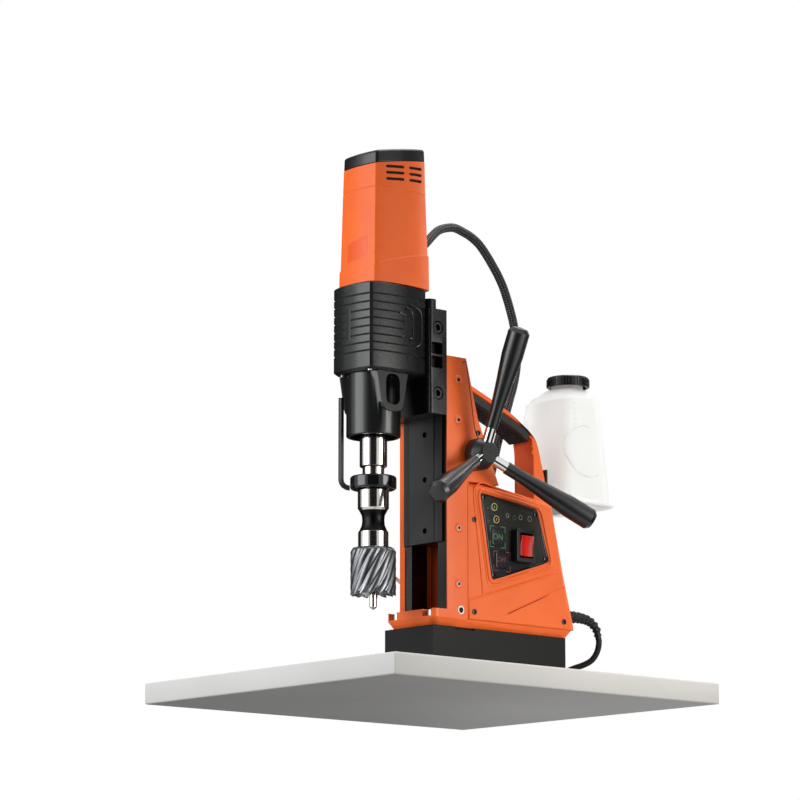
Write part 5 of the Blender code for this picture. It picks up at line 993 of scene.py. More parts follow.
def copy_of(node: str) -> Mesh:
    """A copy of a solid with its loose triangles merged and its flat faces made whole.

    Args:
        node: The solid's name.

    Returns:
        The copy.
    """
    bm = bmesh.new()
    bm.from_mesh(frame["nodes"][node].data)
    bmesh.ops.remove_doubles(bm, verts=bm.verts, dist=2e-6)
    bmesh.ops.dissolve_limit(bm, angle_limit=math.radians(0.4), verts=bm.verts, edges=bm.edges)
    return bm


def dressed(
    node: str, look: Look, edge: float = 0.0004, smooth: float = 50.0, corner: float = 0.0,
) -> Piece:
    """Stands for a solid: the same shape with rounded outer edges and smooth shading.

    Args:
        node: The solid's name.
        look: Its finish.
        edge: The rounding's width in metres, or 0 for none.
        smooth: Edges flatter than this many degrees are shaded smooth.
        corner: The rounding of a plate's corners, seen from the right, or 0 for none.

    Returns:
        The piece.
    """
    bm = copy_of(node)
    if corner:
        upright = [
            e for e in bm.edges
            if e.is_convex and abs((e.verts[1].co - e.verts[0].co).normalized().dot(RIGHT)) > 0.99
            and e.calc_face_angle(0.0) > SHARP
        ]
        rounded(bm, upright, corner, 5)
    if edge:
        sharp = [
            e for e in bm.edges
            if len(e.link_faces) == 2 and e.is_convex and e.calc_face_angle() > SHARP
            and e.calc_length() > 2 * edge
        ]
        rounded(bm, sharp, edge)
    body = frame["nodes"][node]["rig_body"]
    made = settle(bm, f"{node}_dressed", look, body, smooth)
    even = made.modifiers.new("even_shading", "WEIGHTED_NORMAL")
    even.keep_sharp = True
    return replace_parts(made, node)


def painted(node: str, look: Look) -> None:
    """Gives a solid that stays its finish.

    Args:
        node: The solid's name.
        look: Its finish.
    """
    mesh = frame["nodes"][node].data
    mesh.materials.clear()
    mesh.materials.append(Paint.of(look))
    LOG.info("%s: %s", node, look.value.name)


class Assembly:
    """A sub-assembly: the finishes of its solids and its own small pieces."""

    looks: dict[str, tuple[Look, float]] = {}
    plain: dict[str, Look] = {}

    def build(self) -> None:
        """Dresses the solids, then adds the details."""
        LOG.info("sub-assembly %s", type(self).__name__)
        for node, (look, edge) in self.looks.items():
            dressed(node, look, edge)
        for node, look in self.plain.items():
            painted(node, look)
        self.detail()

    def detail(self) -> None:
        """Adds the small pieces; a plain sub-assembly has none."""


@dataclass
class Studio:
    """Camera, lamps, backdrop and the pale slab that the machine stands on."""

    eye: tuple[float, float, float] = (2.8509, -2.6093, -0.4059)
    azimuth: float = 48.7903
    pitch: float = 10.5842
    focal_pixels: float = 3477.6
    picture: float = 800.0
    sensor: float = 36.0
    aim: tuple[float, float, float] = (0.0, -0.04, 0.30)
    ambient: float = 0.20
    slab_low: tuple[float, float, float] = (-0.28, -0.25, -0.024)
    slab_high: tuple[float, float, float] = (0.149, 0.235, 0.0)

    def camera(self) -> None:
        """Sets the camera where the photograph was taken."""
        turn, rise = math.radians(self.azimuth), math.radians(self.pitch)
        ahead = Vector((
            -math.sin(turn) * math.cos(rise), math.cos(turn) * math.cos(rise), math.sin(rise),
        ))
        data = bpy.data.cameras.new("camera")
        data.sensor_width = self.sensor
        data.lens = self.focal_pixels * self.sensor / self.picture
        data.clip_end = 100.0
        made = bpy.data.objects.new("camera", data)
        made.location = self.eye
        made.rotation_mode = "QUATERNION"
        made.rotation_quaternion = ahead.to_track_quat("-Z", "Y")
        bpy.context.scene.collection.objects.link(made)
        bpy.context.scene.camera = made

    def towards(self, degrees: float, distance: float, height: float) -> Vector:
        """A place round the machine.

        Args:
            degrees: Angle from the camera's side, to the right.
            distance: Distance from the machine.
            height: Height above the aim.

        Returns:
            The place.
        """
        turn = math.radians(self.azimuth + degrees)
        out = Vector((math.sin(turn), -math.cos(turn), 0))
        return Vector(self.aim) + out * distance + UP * height

    def lamp(
        self, name: str, place: Vector, size: Point, power: float, colour: Point,
        spread: float = 180.0, low: float = 0.0,
    ) -> None:
        """Adds a soft box that faces the machine.

        Args:
            name: The lamp's name.
            place: Where it stands.
            size: Its width and height.
            power: Its power in watts.
            colour: Its colour.
            spread: The angle that its grid lets through, in degrees.
            low: How far below the aim it points.
        """
        data = bpy.data.lights.new(name, "AREA")
        data.spread = math.radians(spread)
        data.shape = "RECTANGLE"
        data.size, data.size_y = size
        data.energy = power
        data.color = colour
        made = bpy.data.objects.new(name, data)
        made.location = place
        made.rotation_mode = "QUATERNION"
        made.rotation_quaternion = (Vector(self.aim) - UP * low - place).to_track_quat("-Z", "Y")
        bpy.context.scene.collection.objects.link(made)

    def lamps(self) -> None:
        """Two soft boxes in front, one over the machine and one behind it."""
        cool, warm, white = (0.97, 0.99, 1.0), (1.0, 0.97, 0.93), (1.0, 1.0, 1.0)
        self.lamp("key_box", self.towards(-62, 1.7, 0.40), (1.2, 1.5), 30.0, cool)
        self.lamp("side_box", self.towards(60, 1.25, -0.12), (0.65, 0.7), 2.5, warm, 80.0, 0.18)
        self.lamp("top_box", self.towards(115, 0.45, 1.5), (0.8, 0.8), 19.0, white)
        self.lamp("rim_box", self.towards(128, 1.8, 0.5), (0.6, 1.4), 12.0, white)

    def world(self) -> None:
        """A white backdrop for the eye, gloss and glass, and a lower, even light for the rest."""
        world = bpy.data.worlds.new("studio")
        bpy.context.scene.world = world
        world.use_nodes = True
        nodes = Nodes(world.node_tree)
        rays = nodes.node("ShaderNodeLightPath").outputs
        seen = Signal(nodes, rays["Is Camera Ray"])
        for name in ("Is Glossy Ray", "Is Transmission Ray"):
            seen = nodes.maths("MAXIMUM", seen, Signal(nodes, rays[name]))
        level = nodes.node("ShaderNodeMapRange", None, {
            "Value": seen, "To Min": self.ambient, "To Max": 1.0,
        })
        sky = nodes.node("ShaderNodeBackground", None, {
            "Color": (1.0, 1.0, 1.0, 1.0), "Strength": level.outputs["Result"],
        })
        nodes.node("ShaderNodeOutputWorld", None, {"Surface": sky.outputs[0]})

    def flag(self, name: str, degrees: float, distance: float, width: float) -> None:
        """Adds a black flag that only shows in gloss, to draw the edges of bright metal.

        Args:
            name: The flag's name.
            degrees: Angle from the camera's side, to the right.
            distance: Distance from the machine.
            width: Its width.
        """
        place = self.towards(degrees, distance, 0.0)
        bm = block((width, 3.0, 0.01), axis_frame(place, Vector(self.aim) - place))
        made = settle(bm, name, Look.BLACK_AND_PAINTED_SHADE, "")
        for part in ("camera", "diffuse", "shadow", "transmission", "volume_scatter"):
            setattr(made, f"visible_{part}", False)

    def slab(self) -> None:
        """Lays the pale slab under the machine."""
        low, high = Vector(self.slab_low), Vector(self.slab_high)
        bm = block(high - low, Matrix.Translation((low + high) / 2), 0.002, 3)
        settle(bm, "slab", Look.SLAB, "")

    def build(self) -> None:
        """Builds the studio."""
        self.camera()
        self.lamps()
        self.world()
        self.flag("front_flag", -3, 1.6, 1.6)
        self.flag("left_flag", -142, 1.6, 2.5)
        self.flag("right_flag", 112, 1.6, 2.3)
        self.slab()
        bpy.context.scene.view_settings.view_transform = "Standard"


def landed(node: str, points: Sequence[Point], way: Vector, lift: float = 0.0) -> list[Vector]:
    """Drops points on a solid, as landed_on does on a piece."""
    return landed_on(frame["nodes"][node], points, way, lift)


def landed_on(
    piece: Piece, points: Sequence[Point], way: Vector, lift: float = 0.0,
) -> list[Vector]:
    """Drops points on a piece.

    Args:
        piece: The piece.
        points: The points, anywhere along the way.
        way: The way in which they fall.
        lift: How far they stay above it.

    Returns:
        The points on the piece; one that misses it stays where it is.
    """
    bm = bmesh.new()
    bm.from_mesh(piece.data)
    tree = BVHTree.FromBMesh(bm)
    bm.free()
    made = []
    for point in points:
        hit = tree.ray_cast(Vector(point) - way * 0.2, way)[0]
        made.append((Vector(point) if hit is None else hit) - way * lift)
    return made


def pad(node: str, start: Point, end: Point, rise: float, way: Vector, lift: float) -> Mesh:
    """A thin plain pad that follows a solid's wall, such as one that stops its grooves.

    Args:
        node: The solid.
        start: One lower corner, anywhere along the way.
        end: The other lower corner.
        rise: How high the pad stands.
        way: The way into the wall.
        lift: How far the pad stands out of it.

    Returns:
        The pad.
    """
    bm = bmesh.new()
    bmesh.ops.create_grid(bm, x_segments=12, y_segments=1, size=0.5)
    verts = list(bm.verts)
    spots = [
        Vector(start).lerp(Vector(end), v.co.x + 0.5) + UP * rise * (v.co.y + 0.5) for v in verts
    ]
    for vert, seat in zip(verts, landed(node, spots, way, lift)):
        vert.co = seat
    for face in bm.faces:
        face.normal_update()
        if face.normal.dot(way) > 0:
            face.normal_flip()
    bmesh.ops.solidify(bm, geom=list(bm.faces), thickness=0.0012)
    return bm


def ring(at: Point, way: Vector, inner: float, outer: float, rise: float, steps: int = 32) -> Mesh:
    """A flat ring.

    Args:
        at: The middle of its seat.
        way: The way that it faces.
        inner: The hole's radius.
        outer: The rim's radius.
        rise: The height.
        steps: Steps round it.

    Returns:
        The shape.
    """
    profile = [(inner, 0.0), (outer, 0.0), (outer, rise), (inner, rise), (inner, 0.0)]
    return turned(profile, at, way, steps)


def lettering(words: str, height: float, at: Matrix) -> Mesh:
    """Raised letters.

    Args:
        words: What they say.
        height: The font's size.
        at: Their middle and turn.

    Returns:
        The shape.
    """
    curve = bpy.data.curves.new("letters", "FONT")
    curve.body = words
    curve.size = height
    curve.extrude = 0.00005
    curve.resolution_u = 3
    curve.align_x, curve.align_y = "CENTER", "CENTER"
    carrier = bpy.data.objects.new("letters", curve)
    bpy.context.scene.collection.objects.link(carrier)
    graph = bpy.context.evaluated_depsgraph_get()
    mesh = bpy.data.meshes.new_from_object(carrier.evaluated_get(graph))
    bm = bmesh.new()
    bm.from_mesh(mesh)
    bpy.data.objects.remove(carrier)
    bpy.data.curves.remove(curve)
    bpy.data.meshes.remove(mesh)
    bmesh.ops.transform(bm, matrix=at, verts=bm.verts)
    return closed(bm)


@dataclass
class Cords:
    """The woven motor conduit, the coolant hose, and the power cord with its coil, tie and plug."""

    conduit_radius: float = 0.005
    hose_radius: float = 0.002
    cord_radius: float = 0.0035
    coil_centre: tuple[float, float] = (-0.112, 0.030)
    coil_outer: float = 0.0461
    coil_pitch: float = 0.0077
    coil_layers: int = 4
    coil_turns: int = 2
    coil_points: int = 24
    coil_floor: float = 0.0038
    coil_bulge: float = 0.55
    tie_room: float = 0.0012
    tie_width: float = 0.007
    tie_back: float = 0.009
    tie_corner: float = 0.004
    tie_wall: float = 0.0009
    tie_foot: float = 0.0002
    plug_height: float = 0.0183
    conduit: tuple[tuple[float, float, float], ...] = (
        (-0.006, -0.0751, 0.4823), (-0.006, -0.0677, 0.489), (-0.0088, -0.0567, 0.4987),
        (-0.0115, -0.0449, 0.5076), (-0.0137, -0.0312, 0.5131), (-0.0157, -0.0167, 0.5159),
        (-0.0175, -0.0019, 0.5139), (-0.0192, 0.0125, 0.5104), (-0.0206, 0.0259, 0.5041),
        (-0.0217, 0.0375, 0.4947), (-0.0227, 0.0481, 0.4841), (-0.0236, 0.0581, 0.473),
        (-0.0247, 0.067, 0.461), (-0.0257, 0.0742, 0.4479), (-0.0266, 0.0805, 0.4343),
        (-0.0273, 0.0857, 0.4203), (-0.028, 0.0895, 0.4059), (-0.0285, 0.0919, 0.3911),
        (-0.029, 0.0924, 0.3762), (-0.0292, 0.0903, 0.3613), (-0.0294, 0.0867, 0.3468),
        (-0.0295, 0.0818, 0.3327), (-0.0294, 0.0767, 0.3186), (-0.0291, 0.0716, 0.3045),
        (-0.0289, 0.0663, 0.2905), (-0.0286, 0.0609, 0.2765), (-0.0283, 0.0564, 0.2622),
        (-0.0279, 0.0522, 0.2479), (-0.0275, 0.0481, 0.2335), (-0.0275, 0.0463, 0.2186),
    )
    hose: tuple[tuple[float, float, float], ...] = (
        (-0.0145, 0.1179, 0.1904), (-0.0145, 0.1179, 0.1747), (-0.0216, 0.1195, 0.1625),
        (-0.0286, 0.1212, 0.1503), (-0.0358, 0.1192, 0.1384), (-0.0423, 0.1105, 0.1293),
        (-0.0474, 0.0989, 0.1229), (-0.0508, 0.0863, 0.1175), (-0.0522, 0.0731, 0.1124),
        (-0.0524, 0.0596, 0.108), (-0.0522, 0.046, 0.1042), (-0.052, 0.0321, 0.1013),
        (-0.0521, 0.018, 0.0995), (-0.0521, 0.0038, 0.0986), (-0.0521, -0.0104, 0.0983),
        (-0.052, -0.0246, 0.0987), (-0.0519, -0.0387, 0.0999), (-0.0515, -0.0527, 0.1025),
        (-0.0511, -0.0661, 0.1071), (-0.0506, -0.0785, 0.114), (-0.0501, -0.0891, 0.1234),
        (-0.05, -0.0974, 0.1348), (-0.0503, -0.1033, 0.1477), (-0.0498, -0.108, 0.1611),
        (-0.0486, -0.1106, 0.175), (-0.045, -0.1139, 0.1883), (-0.0374, -0.1194, 0.1988),
        (-0.0282, -0.1267, 0.2053), (-0.0239, -0.1305, 0.2053),
    )
    cord: tuple[tuple[float, float, float], ...] = (
        (0.0257, 0.1652, 0.0582), (0.0255, 0.1671, 0.0515), (0.021, 0.1683, 0.0409),
        (0.0144, 0.1659, 0.0316), (0.006, 0.16, 0.0263), (-0.0024, 0.1528, 0.0227),
        (-0.0104, 0.1459, 0.0177), (-0.0187, 0.139, 0.013), (-0.0273, 0.1322, 0.0089),
        (-0.0358, 0.1246, 0.0061), (-0.044, 0.1164, 0.0045), (-0.0509, 0.107, 0.0039),
        (-0.0566, 0.0968, 0.004), (-0.0612, 0.086, 0.004), (-0.0642, 0.0747, 0.004),
        (-0.0653, 0.063, 0.0039), (-0.0659, 0.0513, 0.0038),
    )

    def coil(self) -> list[Vector]:
        """The coil's middle line: flat layers that climb at their edges, then the run to the plug.

        Returns:
            Its points, in order.
        """
        inner = self.coil_outer - self.coil_turns * self.coil_pitch
        step = math.tau / self.coil_points
        spots: list[tuple[float, float]] = []
        count = self.coil_turns * self.coil_points
        for layer in range(self.coil_layers):
            start, end = (self.coil_outer, inner) if layer % 2 == 0 else (inner, self.coil_outer)
            level = self.coil_floor + layer * self.coil_pitch
            last = layer == self.coil_layers - 1
            spots += [(start + (end - start) * k / count, level) for k in range(count + last)]
            if not last:
                swing = -1 if end < start else 1
                for k in range(self.coil_points // 2):
                    share = 2 * k / self.coil_points
                    climb = share - math.sin(math.tau * share) / math.tau
                    bulge = swing * self.coil_bulge * self.coil_pitch * math.sin(math.pi * share)
                    spots.append((end + bulge, level + self.coil_pitch * climb))
        x, y = self.coil_centre
        points = [
            Vector((x + r * math.cos(-k * step), y + r * math.sin(-k * step), z))
            for k, (r, z) in enumerate(spots)
        ]
        high, rest, side = points[-1].z, self.plug_height, x - self.coil_outer
        tail = [
            (side - 0.0006, y, high), (side - 0.0010, y + 0.012, high - 0.0008),
            (side - 0.0010, y + 0.024, high - 0.0045), (side - 0.0006, y + 0.036, rest + 0.0006),
            (side - 0.0006, y + 0.046, rest), (side - 0.0006, y + 0.056, rest),
        ]
        return points + [Vector(spot) for spot in tail]

    def lay(self, node: str, path: list[Vector], radius: float, look: Look, sides: int) -> Piece:
        """Sweeps a cord in place of its solid.

        Args:
            node: The solid's name.
            path: The cord's middle line.
            radius: The cord's radius.
            look: Its finish.
            sides: Sides of its section.

        Returns:
            The cord, on no body yet.
        """
        made = settle(swept(path, radius, sides), f"{node}_laid", look, "", ROUND)
        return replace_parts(made, node)

    def facts(
        self, made: Piece, path: list[Vector], pieces: Sequence[Piece],
    ) -> None:
        """States a cord's facts.

        Args:
            made: The cord.
            path: Its middle line.
            pieces: The pieces on it; not used.
        """
        length = sum((b - a).length for a, b in zip(path, path[1:]))
        LOG.info("%s: %.3f m long", made.name, length)

    def tie(self) -> Piece:
        """Straps the coil's bundle.

        Returns:
            The strap.
        """
        x, y = self.coil_centre
        around = self.cord_radius + self.tie_room
        inner = x + self.coil_outer - self.coil_turns * self.coil_pitch - around
        outer = x + self.coil_outer + around
        top = self.coil_floor + (self.coil_layers - 1) * self.coil_pitch + around
        middle = ((inner + outer) / 2, y - self.tie_back, top / 2 + self.tie_foot)
        loop = block((outer - inner, self.tie_width, top), Matrix.Translation(middle))
        caps = [f for f in loop.faces if abs(f.normal.y) > 0.9]
        bmesh.ops.delete(loop, geom=caps, context="FACES")
        rounded(loop, [e for e in loop.edges if len(e.link_faces) == 2], self.tie_corner, 4)
        bmesh.ops.recalc_face_normals(loop, faces=loop.faces)
        bmesh.ops.solidify(loop, geom=list(loop.faces), thickness=self.tie_wall)
        return settle(loop, "coil_tie", Look.RUBBER, "frame", 50.0)

    def build(self) -> None:
        """Lays the three cords."""
        path = smooth_path(self.conduit, 0.0025)
        made = self.lay("motor_conduit", path, self.conduit_radius, Look.SLEEVE, 24)
        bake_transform(made)
        self.facts(made, path, ())
        path = smooth_path(self.hose, 0.003)
        made = self.lay("coolant_hose", path, self.hose_radius, Look.HOSE, 14)
        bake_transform(made)
        self.facts(made, path, ())
        path = smooth_path([Vector(spot) for spot in self.cord] + self.coil(), 0.005)
        made = self.lay("power_cord", path, self.cord_radius, Look.RUBBER, 12)
        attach(made, "frame")
        plug = dressed("plug", Look.BLACK_PLASTIC, 0.0006)
        self.facts(made, path, (plug, self.tie()))


@dataclass
class Stand(Assembly):
    """Magnet, cast frame, way rails and their screws."""

    looks = {
        "magnet_yoke": (Look.BLACK_MAGNET, 0.0008),
        "frame_casting": (Look.ORANGE_ENAMEL, 0.0011),
        "magnet_bolt_left": (Look.ZINC, 0.0004),
        "magnet_bolt_right": (Look.ZINC, 0.0004),
        "way_rail_left": (Look.BLACK_STEEL, 0.0004),
        "way_rail_right": (Look.BLACK_STEEL, 0.0004),
        "feed_bush": (Look.BRONZE, 0.0003),
    }
    plain = {"magnet_coil": Look.WINDING}
    gib_screws: tuple[tuple[float, float], ...] = (
        (-0.062, 0.3255), (-0.0622, 0.2803), (-0.062, 0.1594), (-0.0622, 0.0972),
    )
    gib_seat: tuple[tuple[float, float], ...] = (
        (0.0024, -0.0003), (0.0024, 0.0010), (0.0036, 0.0011), (0.0046, 0.0008), (0.0058, -0.0003),
    )
    gib_head: Point = (0.0020, 0.0005, 0.55)
    gib_lip: Point = (0.0020, 0.0025, 0.00115)
    gusset_screw: tuple[float, float] = (-0.0322, 0.2691)
    gusset_head: Point = (0.0030, 0.0012, 0.55)
    bush_hole: tuple[float, float] = (-0.0587, 0.0687)
    bush: Point = (0.0032, 0.0046, 0.0004)
    hole: tuple[tuple[float, float], ...] = (
        (0.0001, 0.0), (0.0032, 0.0), (0.0032, 0.00015), (0.0001, 0.00015),
    )
    seam: tuple[tuple[float, float], ...] = (
        (-0.0544, 0.3457), (-0.0499, 0.3463), (-0.0430, 0.3085), (-0.0367, 0.272),
        (-0.0293, 0.2616), (-0.0232, 0.2611),
    )
    seam_radius: float = 0.00045
    side: float = 0.04
    channel_shade_size: Point = (0.0434, 0.0005, 0.1460)
    channel_shade_place: Point = (0.0013, -0.04865, 0.1419)

    def on_column(self, line: Sequence[Point]) -> list[Vector]:
        """The places of a line on the column's right side, given along and up."""
        return landed("frame_casting", [(self.side, y, z) for y, z in line], -RIGHT)

    def detail(self) -> None:
        """Adds a sheet of painted shade on the channel's floor, and on the column's right the
        screws, the bush, and painted shade along the seam and in the cross hole.
        """
        # Painted shade: a thin dark orange sheet on the channel's floor, where the channel lies in
        # shade.
        channel_shade = block(self.channel_shade_size, Matrix.Translation(self.channel_shade_place))
        settle(channel_shade, "way_channel_shade", Look.ORANGE_PAINTED_SHADE, "frame")
        seats = self.on_column(self.gib_screws)
        rims = [turned(self.gib_seat, seat, RIGHT, 28) for seat in seats]
        settle(gathered(rims), "gib_screw_seats", Look.ORANGE_ENAMEL, "frame")
        # The gib screw heads are black, and their dark finish also carries painted shade for their
        # holes.
        ends = [screw(seat, RIGHT, *self.gib_head) for seat in seats]
        settle(gathered(ends), "gib_screws", Look.BLACK_AND_PAINTED_SHADE, "frame")
        lips = [ring(seat, RIGHT, *self.gib_lip, 28) for seat in seats]
        settle(gathered(lips), "gib_screw_lips", Look.ZINC, "frame")
        # Painted shade: a thin dark line along the column's seam, where its groove lies in shade.
        line = swept(smooth_path(self.on_column(self.seam)), self.seam_radius, 8)
        settle(line, "column_seam_shade", Look.BLACK_AND_PAINTED_SHADE, "frame", ROUND)
        seat, hole = self.on_column((self.gusset_screw, self.bush_hole))
        settle(screw(seat, RIGHT, *self.gusset_head), "gusset_screw", Look.BLACK_STEEL, "frame")
        settle(ring(hole, RIGHT, *self.bush), "cross_hole_bush", Look.ZINC, "frame")
        # Painted shade: a thin dark disc that stands for the shade inside the cross hole.
        settle(turned(self.hole, hole, RIGHT), "cross_hole", Look.BLACK_AND_PAINTED_SHADE, "frame")


@dataclass
class Feed(Assembly):
    """Slide bar and the capstan that moves it."""

    looks = {
        "slide_bar": (Look.BLACK_STEEL, 0.0005),
        "capstan_hub": (Look.BLACK_PLASTIC, 0.0006),
        **{f"arm_rod_{k}": (Look.CHROME, 0.0003) for k in (1, 2, 3)},
        **{f"arm_grip_{k}": (Look.GRIP, 0.0005) for k in (1, 2, 3)},
    }
    plain = {"rack": Look.GROUND_STEEL, "pinion_shaft": Look.GROUND_STEEL}
    boss: tuple[float, float, float] = (0.0598, -0.039, 0.243)
    boss_profile: tuple[tuple[float, float], ...] = (
        (0.0001, 0.0), (0.0150, 0.0), (0.0124, 0.0064), (0.0114, 0.0074), (0.0001, 0.0074),
    )
    dimple: tuple[float, float, float] = (0.0672, -0.039, 0.243)
    dimple_profile: tuple[tuple[float, float], ...] = (
        (0.0001, 0.00012), (0.0009, 0.00015), (0.0013, 0.0001), (0.0013, -0.0003),
        (0.0001, -0.0003),
    )

    def detail(self) -> None:
        """Adds the hub's front boss, and a dark disc of painted shade for the dimple in its face.
        """
        boss = turned(self.boss_profile, self.boss, RIGHT, 48)
        settle(boss, "hub_boss", Look.BLACK_PLASTIC, "capstan", 30.0)
        # Painted shade: the dark disc stands for the shade in the dimple.
        dimple = turned(self.dimple_profile, self.dimple, RIGHT, 20)
        settle(dimple, "hub_dimple_shade", Look.BLACK_AND_PAINTED_SHADE, "capstan")


@dataclass
class DrillUnit(Assembly):
    """Gear case, spindle, arbor, cutter and coolant ring."""

    looks = {
        "gear_case": (Look.GROOVED_CASTING, 0.0010),
        "clamp_screw_lower": (Look.BLACK_STEEL, 0.0004),
        "clamp_screw_upper": (Look.BLACK_STEEL, 0.0004),
        "spindle_tube": (Look.BLACK_TUBE, 0.0006),
        "spindle": (Look.BRIGHT_STEEL, 0.0004),
        "arbor": (Look.WAISTED_STEEL, 0.0004),
        "annular_cutter": (Look.GROUND_STEEL, 0.0),
        "pilot_pin": (Look.BRIGHT_STEEL, 0.0003),
        "coolant_ring": (Look.BLACK_GLOSS, 0.0006),
        "ring_arm": (Look.BLACK_STEEL, 0.0006),
    }
    plain = {
        "spindle_bearing_lower": Look.GROUND_STEEL, "spindle_bearing_upper": Look.GROUND_STEEL,
        "spindle_gear": Look.GROUND_STEEL, "idler_gear": Look.GROUND_STEEL,
    }
    ridges: tuple[tuple[tuple[float, float], ...], ...] = (
        ((-0.1311, 0.4006), (-0.1223, 0.4002), (-0.1149, 0.3972), (-0.112, 0.3897),
         (-0.112, 0.3649), (-0.115, 0.3577), (-0.1194, 0.3549)),
        ((-0.137, 0.3964), (-0.1311, 0.3961), (-0.1267, 0.3911), (-0.1267, 0.3663),
         (-0.1311, 0.3623)),
        ((-0.1458, 0.3907), (-0.1399, 0.3892), (-0.1385, 0.3861), (-0.1385, 0.3669),
         (-0.1429, 0.363)),
    )
    ridge_radius: float = 0.0015
    pad_foot: float = 0.3590
    pad_rise: float = 0.0365
    pad_lift: float = 0.00005
    pad_sides: tuple[float, float] = (-0.1395, -0.1090)
    pad_front: tuple[float, float] = (-0.0065, 0.0030)
    cover_screws: tuple[tuple[float, float], ...] = ((0.0270, -0.1800), (-0.0225, -0.1770))
    cover_level: float = 0.3
    cover_head: Point = (0.0026, 0.0016, 0.5)

    def detail(self) -> None:
        """Adds the bent ribs on both sides of the case, and the pads where its grooves stop."""
        for name, way in (("right", -RIGHT), ("left", RIGHT)):
            parts = []
            for line in self.ridges:
                knots = landed("gear_case", [(0.0, y, z) for y, z in line], way)
                parts.append(swept(smooth_path(knots, 0.002), self.ridge_radius, 10))
            settle(gathered(parts), f"case_ribs_{name}", Look.BLACK_CASTING, "slide", ROUND)
            start, end = ((0.0, y, self.pad_foot) for y in self.pad_sides)
            wall = pad("gear_case", start, end, self.pad_rise, way, self.pad_lift)
            settle(wall, f"case_pad_{name}", Look.BLACK_CASTING, "slide")
        start, end = ((x, 0.0, self.pad_foot) for x in self.pad_front)
        wall = pad("gear_case", start, end, self.pad_rise, BACK, self.pad_lift)
        settle(wall, "case_pad_front", Look.BLACK_CASTING, "slide")
        seats = landed("gear_case", [(x, y, self.cover_level) for x, y in self.cover_screws], UP)
        heads = gathered([screw(seat, -UP, *self.cover_head) for seat in seats])
        settle(heads, "case_cover_screws", Look.ZINC, "slide")


@dataclass
class Motor(Assembly):
    """Motor housing, its cap and what turns in it."""

    looks = {
        "motor_housing": (Look.MOTOR_SHELL, 0.0008),
        "motor_cap": (Look.BLACK_PLASTIC, 0.0012),
        "motor_gland": (Look.BLACK_PLASTIC, 0.0004),
    }
    plain = {
        "armature": Look.WINDING, "armature_bearing": Look.GROUND_STEEL, "stator": Look.BLACK_STEEL,
    }
    axis: float = -0.136
    vent_columns: tuple[tuple[float, float], ...] = ((-0.0252, -0.0002), (0.0072, 0.0280))
    vent_bar: float = 0.5540
    vent_middle: float = 0.5505
    vent_tilt: float = 0.09
    screen_depth: float = 0.0010
    screen_size: Point = (0.0008, 0.0020, 0.0260)

    def detail(self) -> None:
        """Adds dark screens just under the vents, painted shade for the motor's inside."""
        screens = []
        thick, spare, height = self.screen_size
        deep = -self.screen_depth - thick / 2
        for way in (RIGHT, -RIGHT):
            for column in self.vent_columns:
                bars = [(0.0, self.axis + y, self.vent_bar + self.vent_tilt * y) for y in column]
                start, end = landed("motor_housing", bars, way, deep)
                run = end - start
                middle = (start + end) / 2
                middle.z = self.vent_middle
                turn = Matrix.Rotation(math.atan2(-run.x, run.y), 4, "Z")
                size = (thick, run.xy.length + spare, height)
                screens.append(block(size, Matrix.Translation(middle) @ turn))
        # Painted shade: dark screens where the motor's inside lies in shade behind the vents.
        settle(gathered(screens), "vent_shade_screens", Look.BLACK_AND_PAINTED_SHADE, "slide")


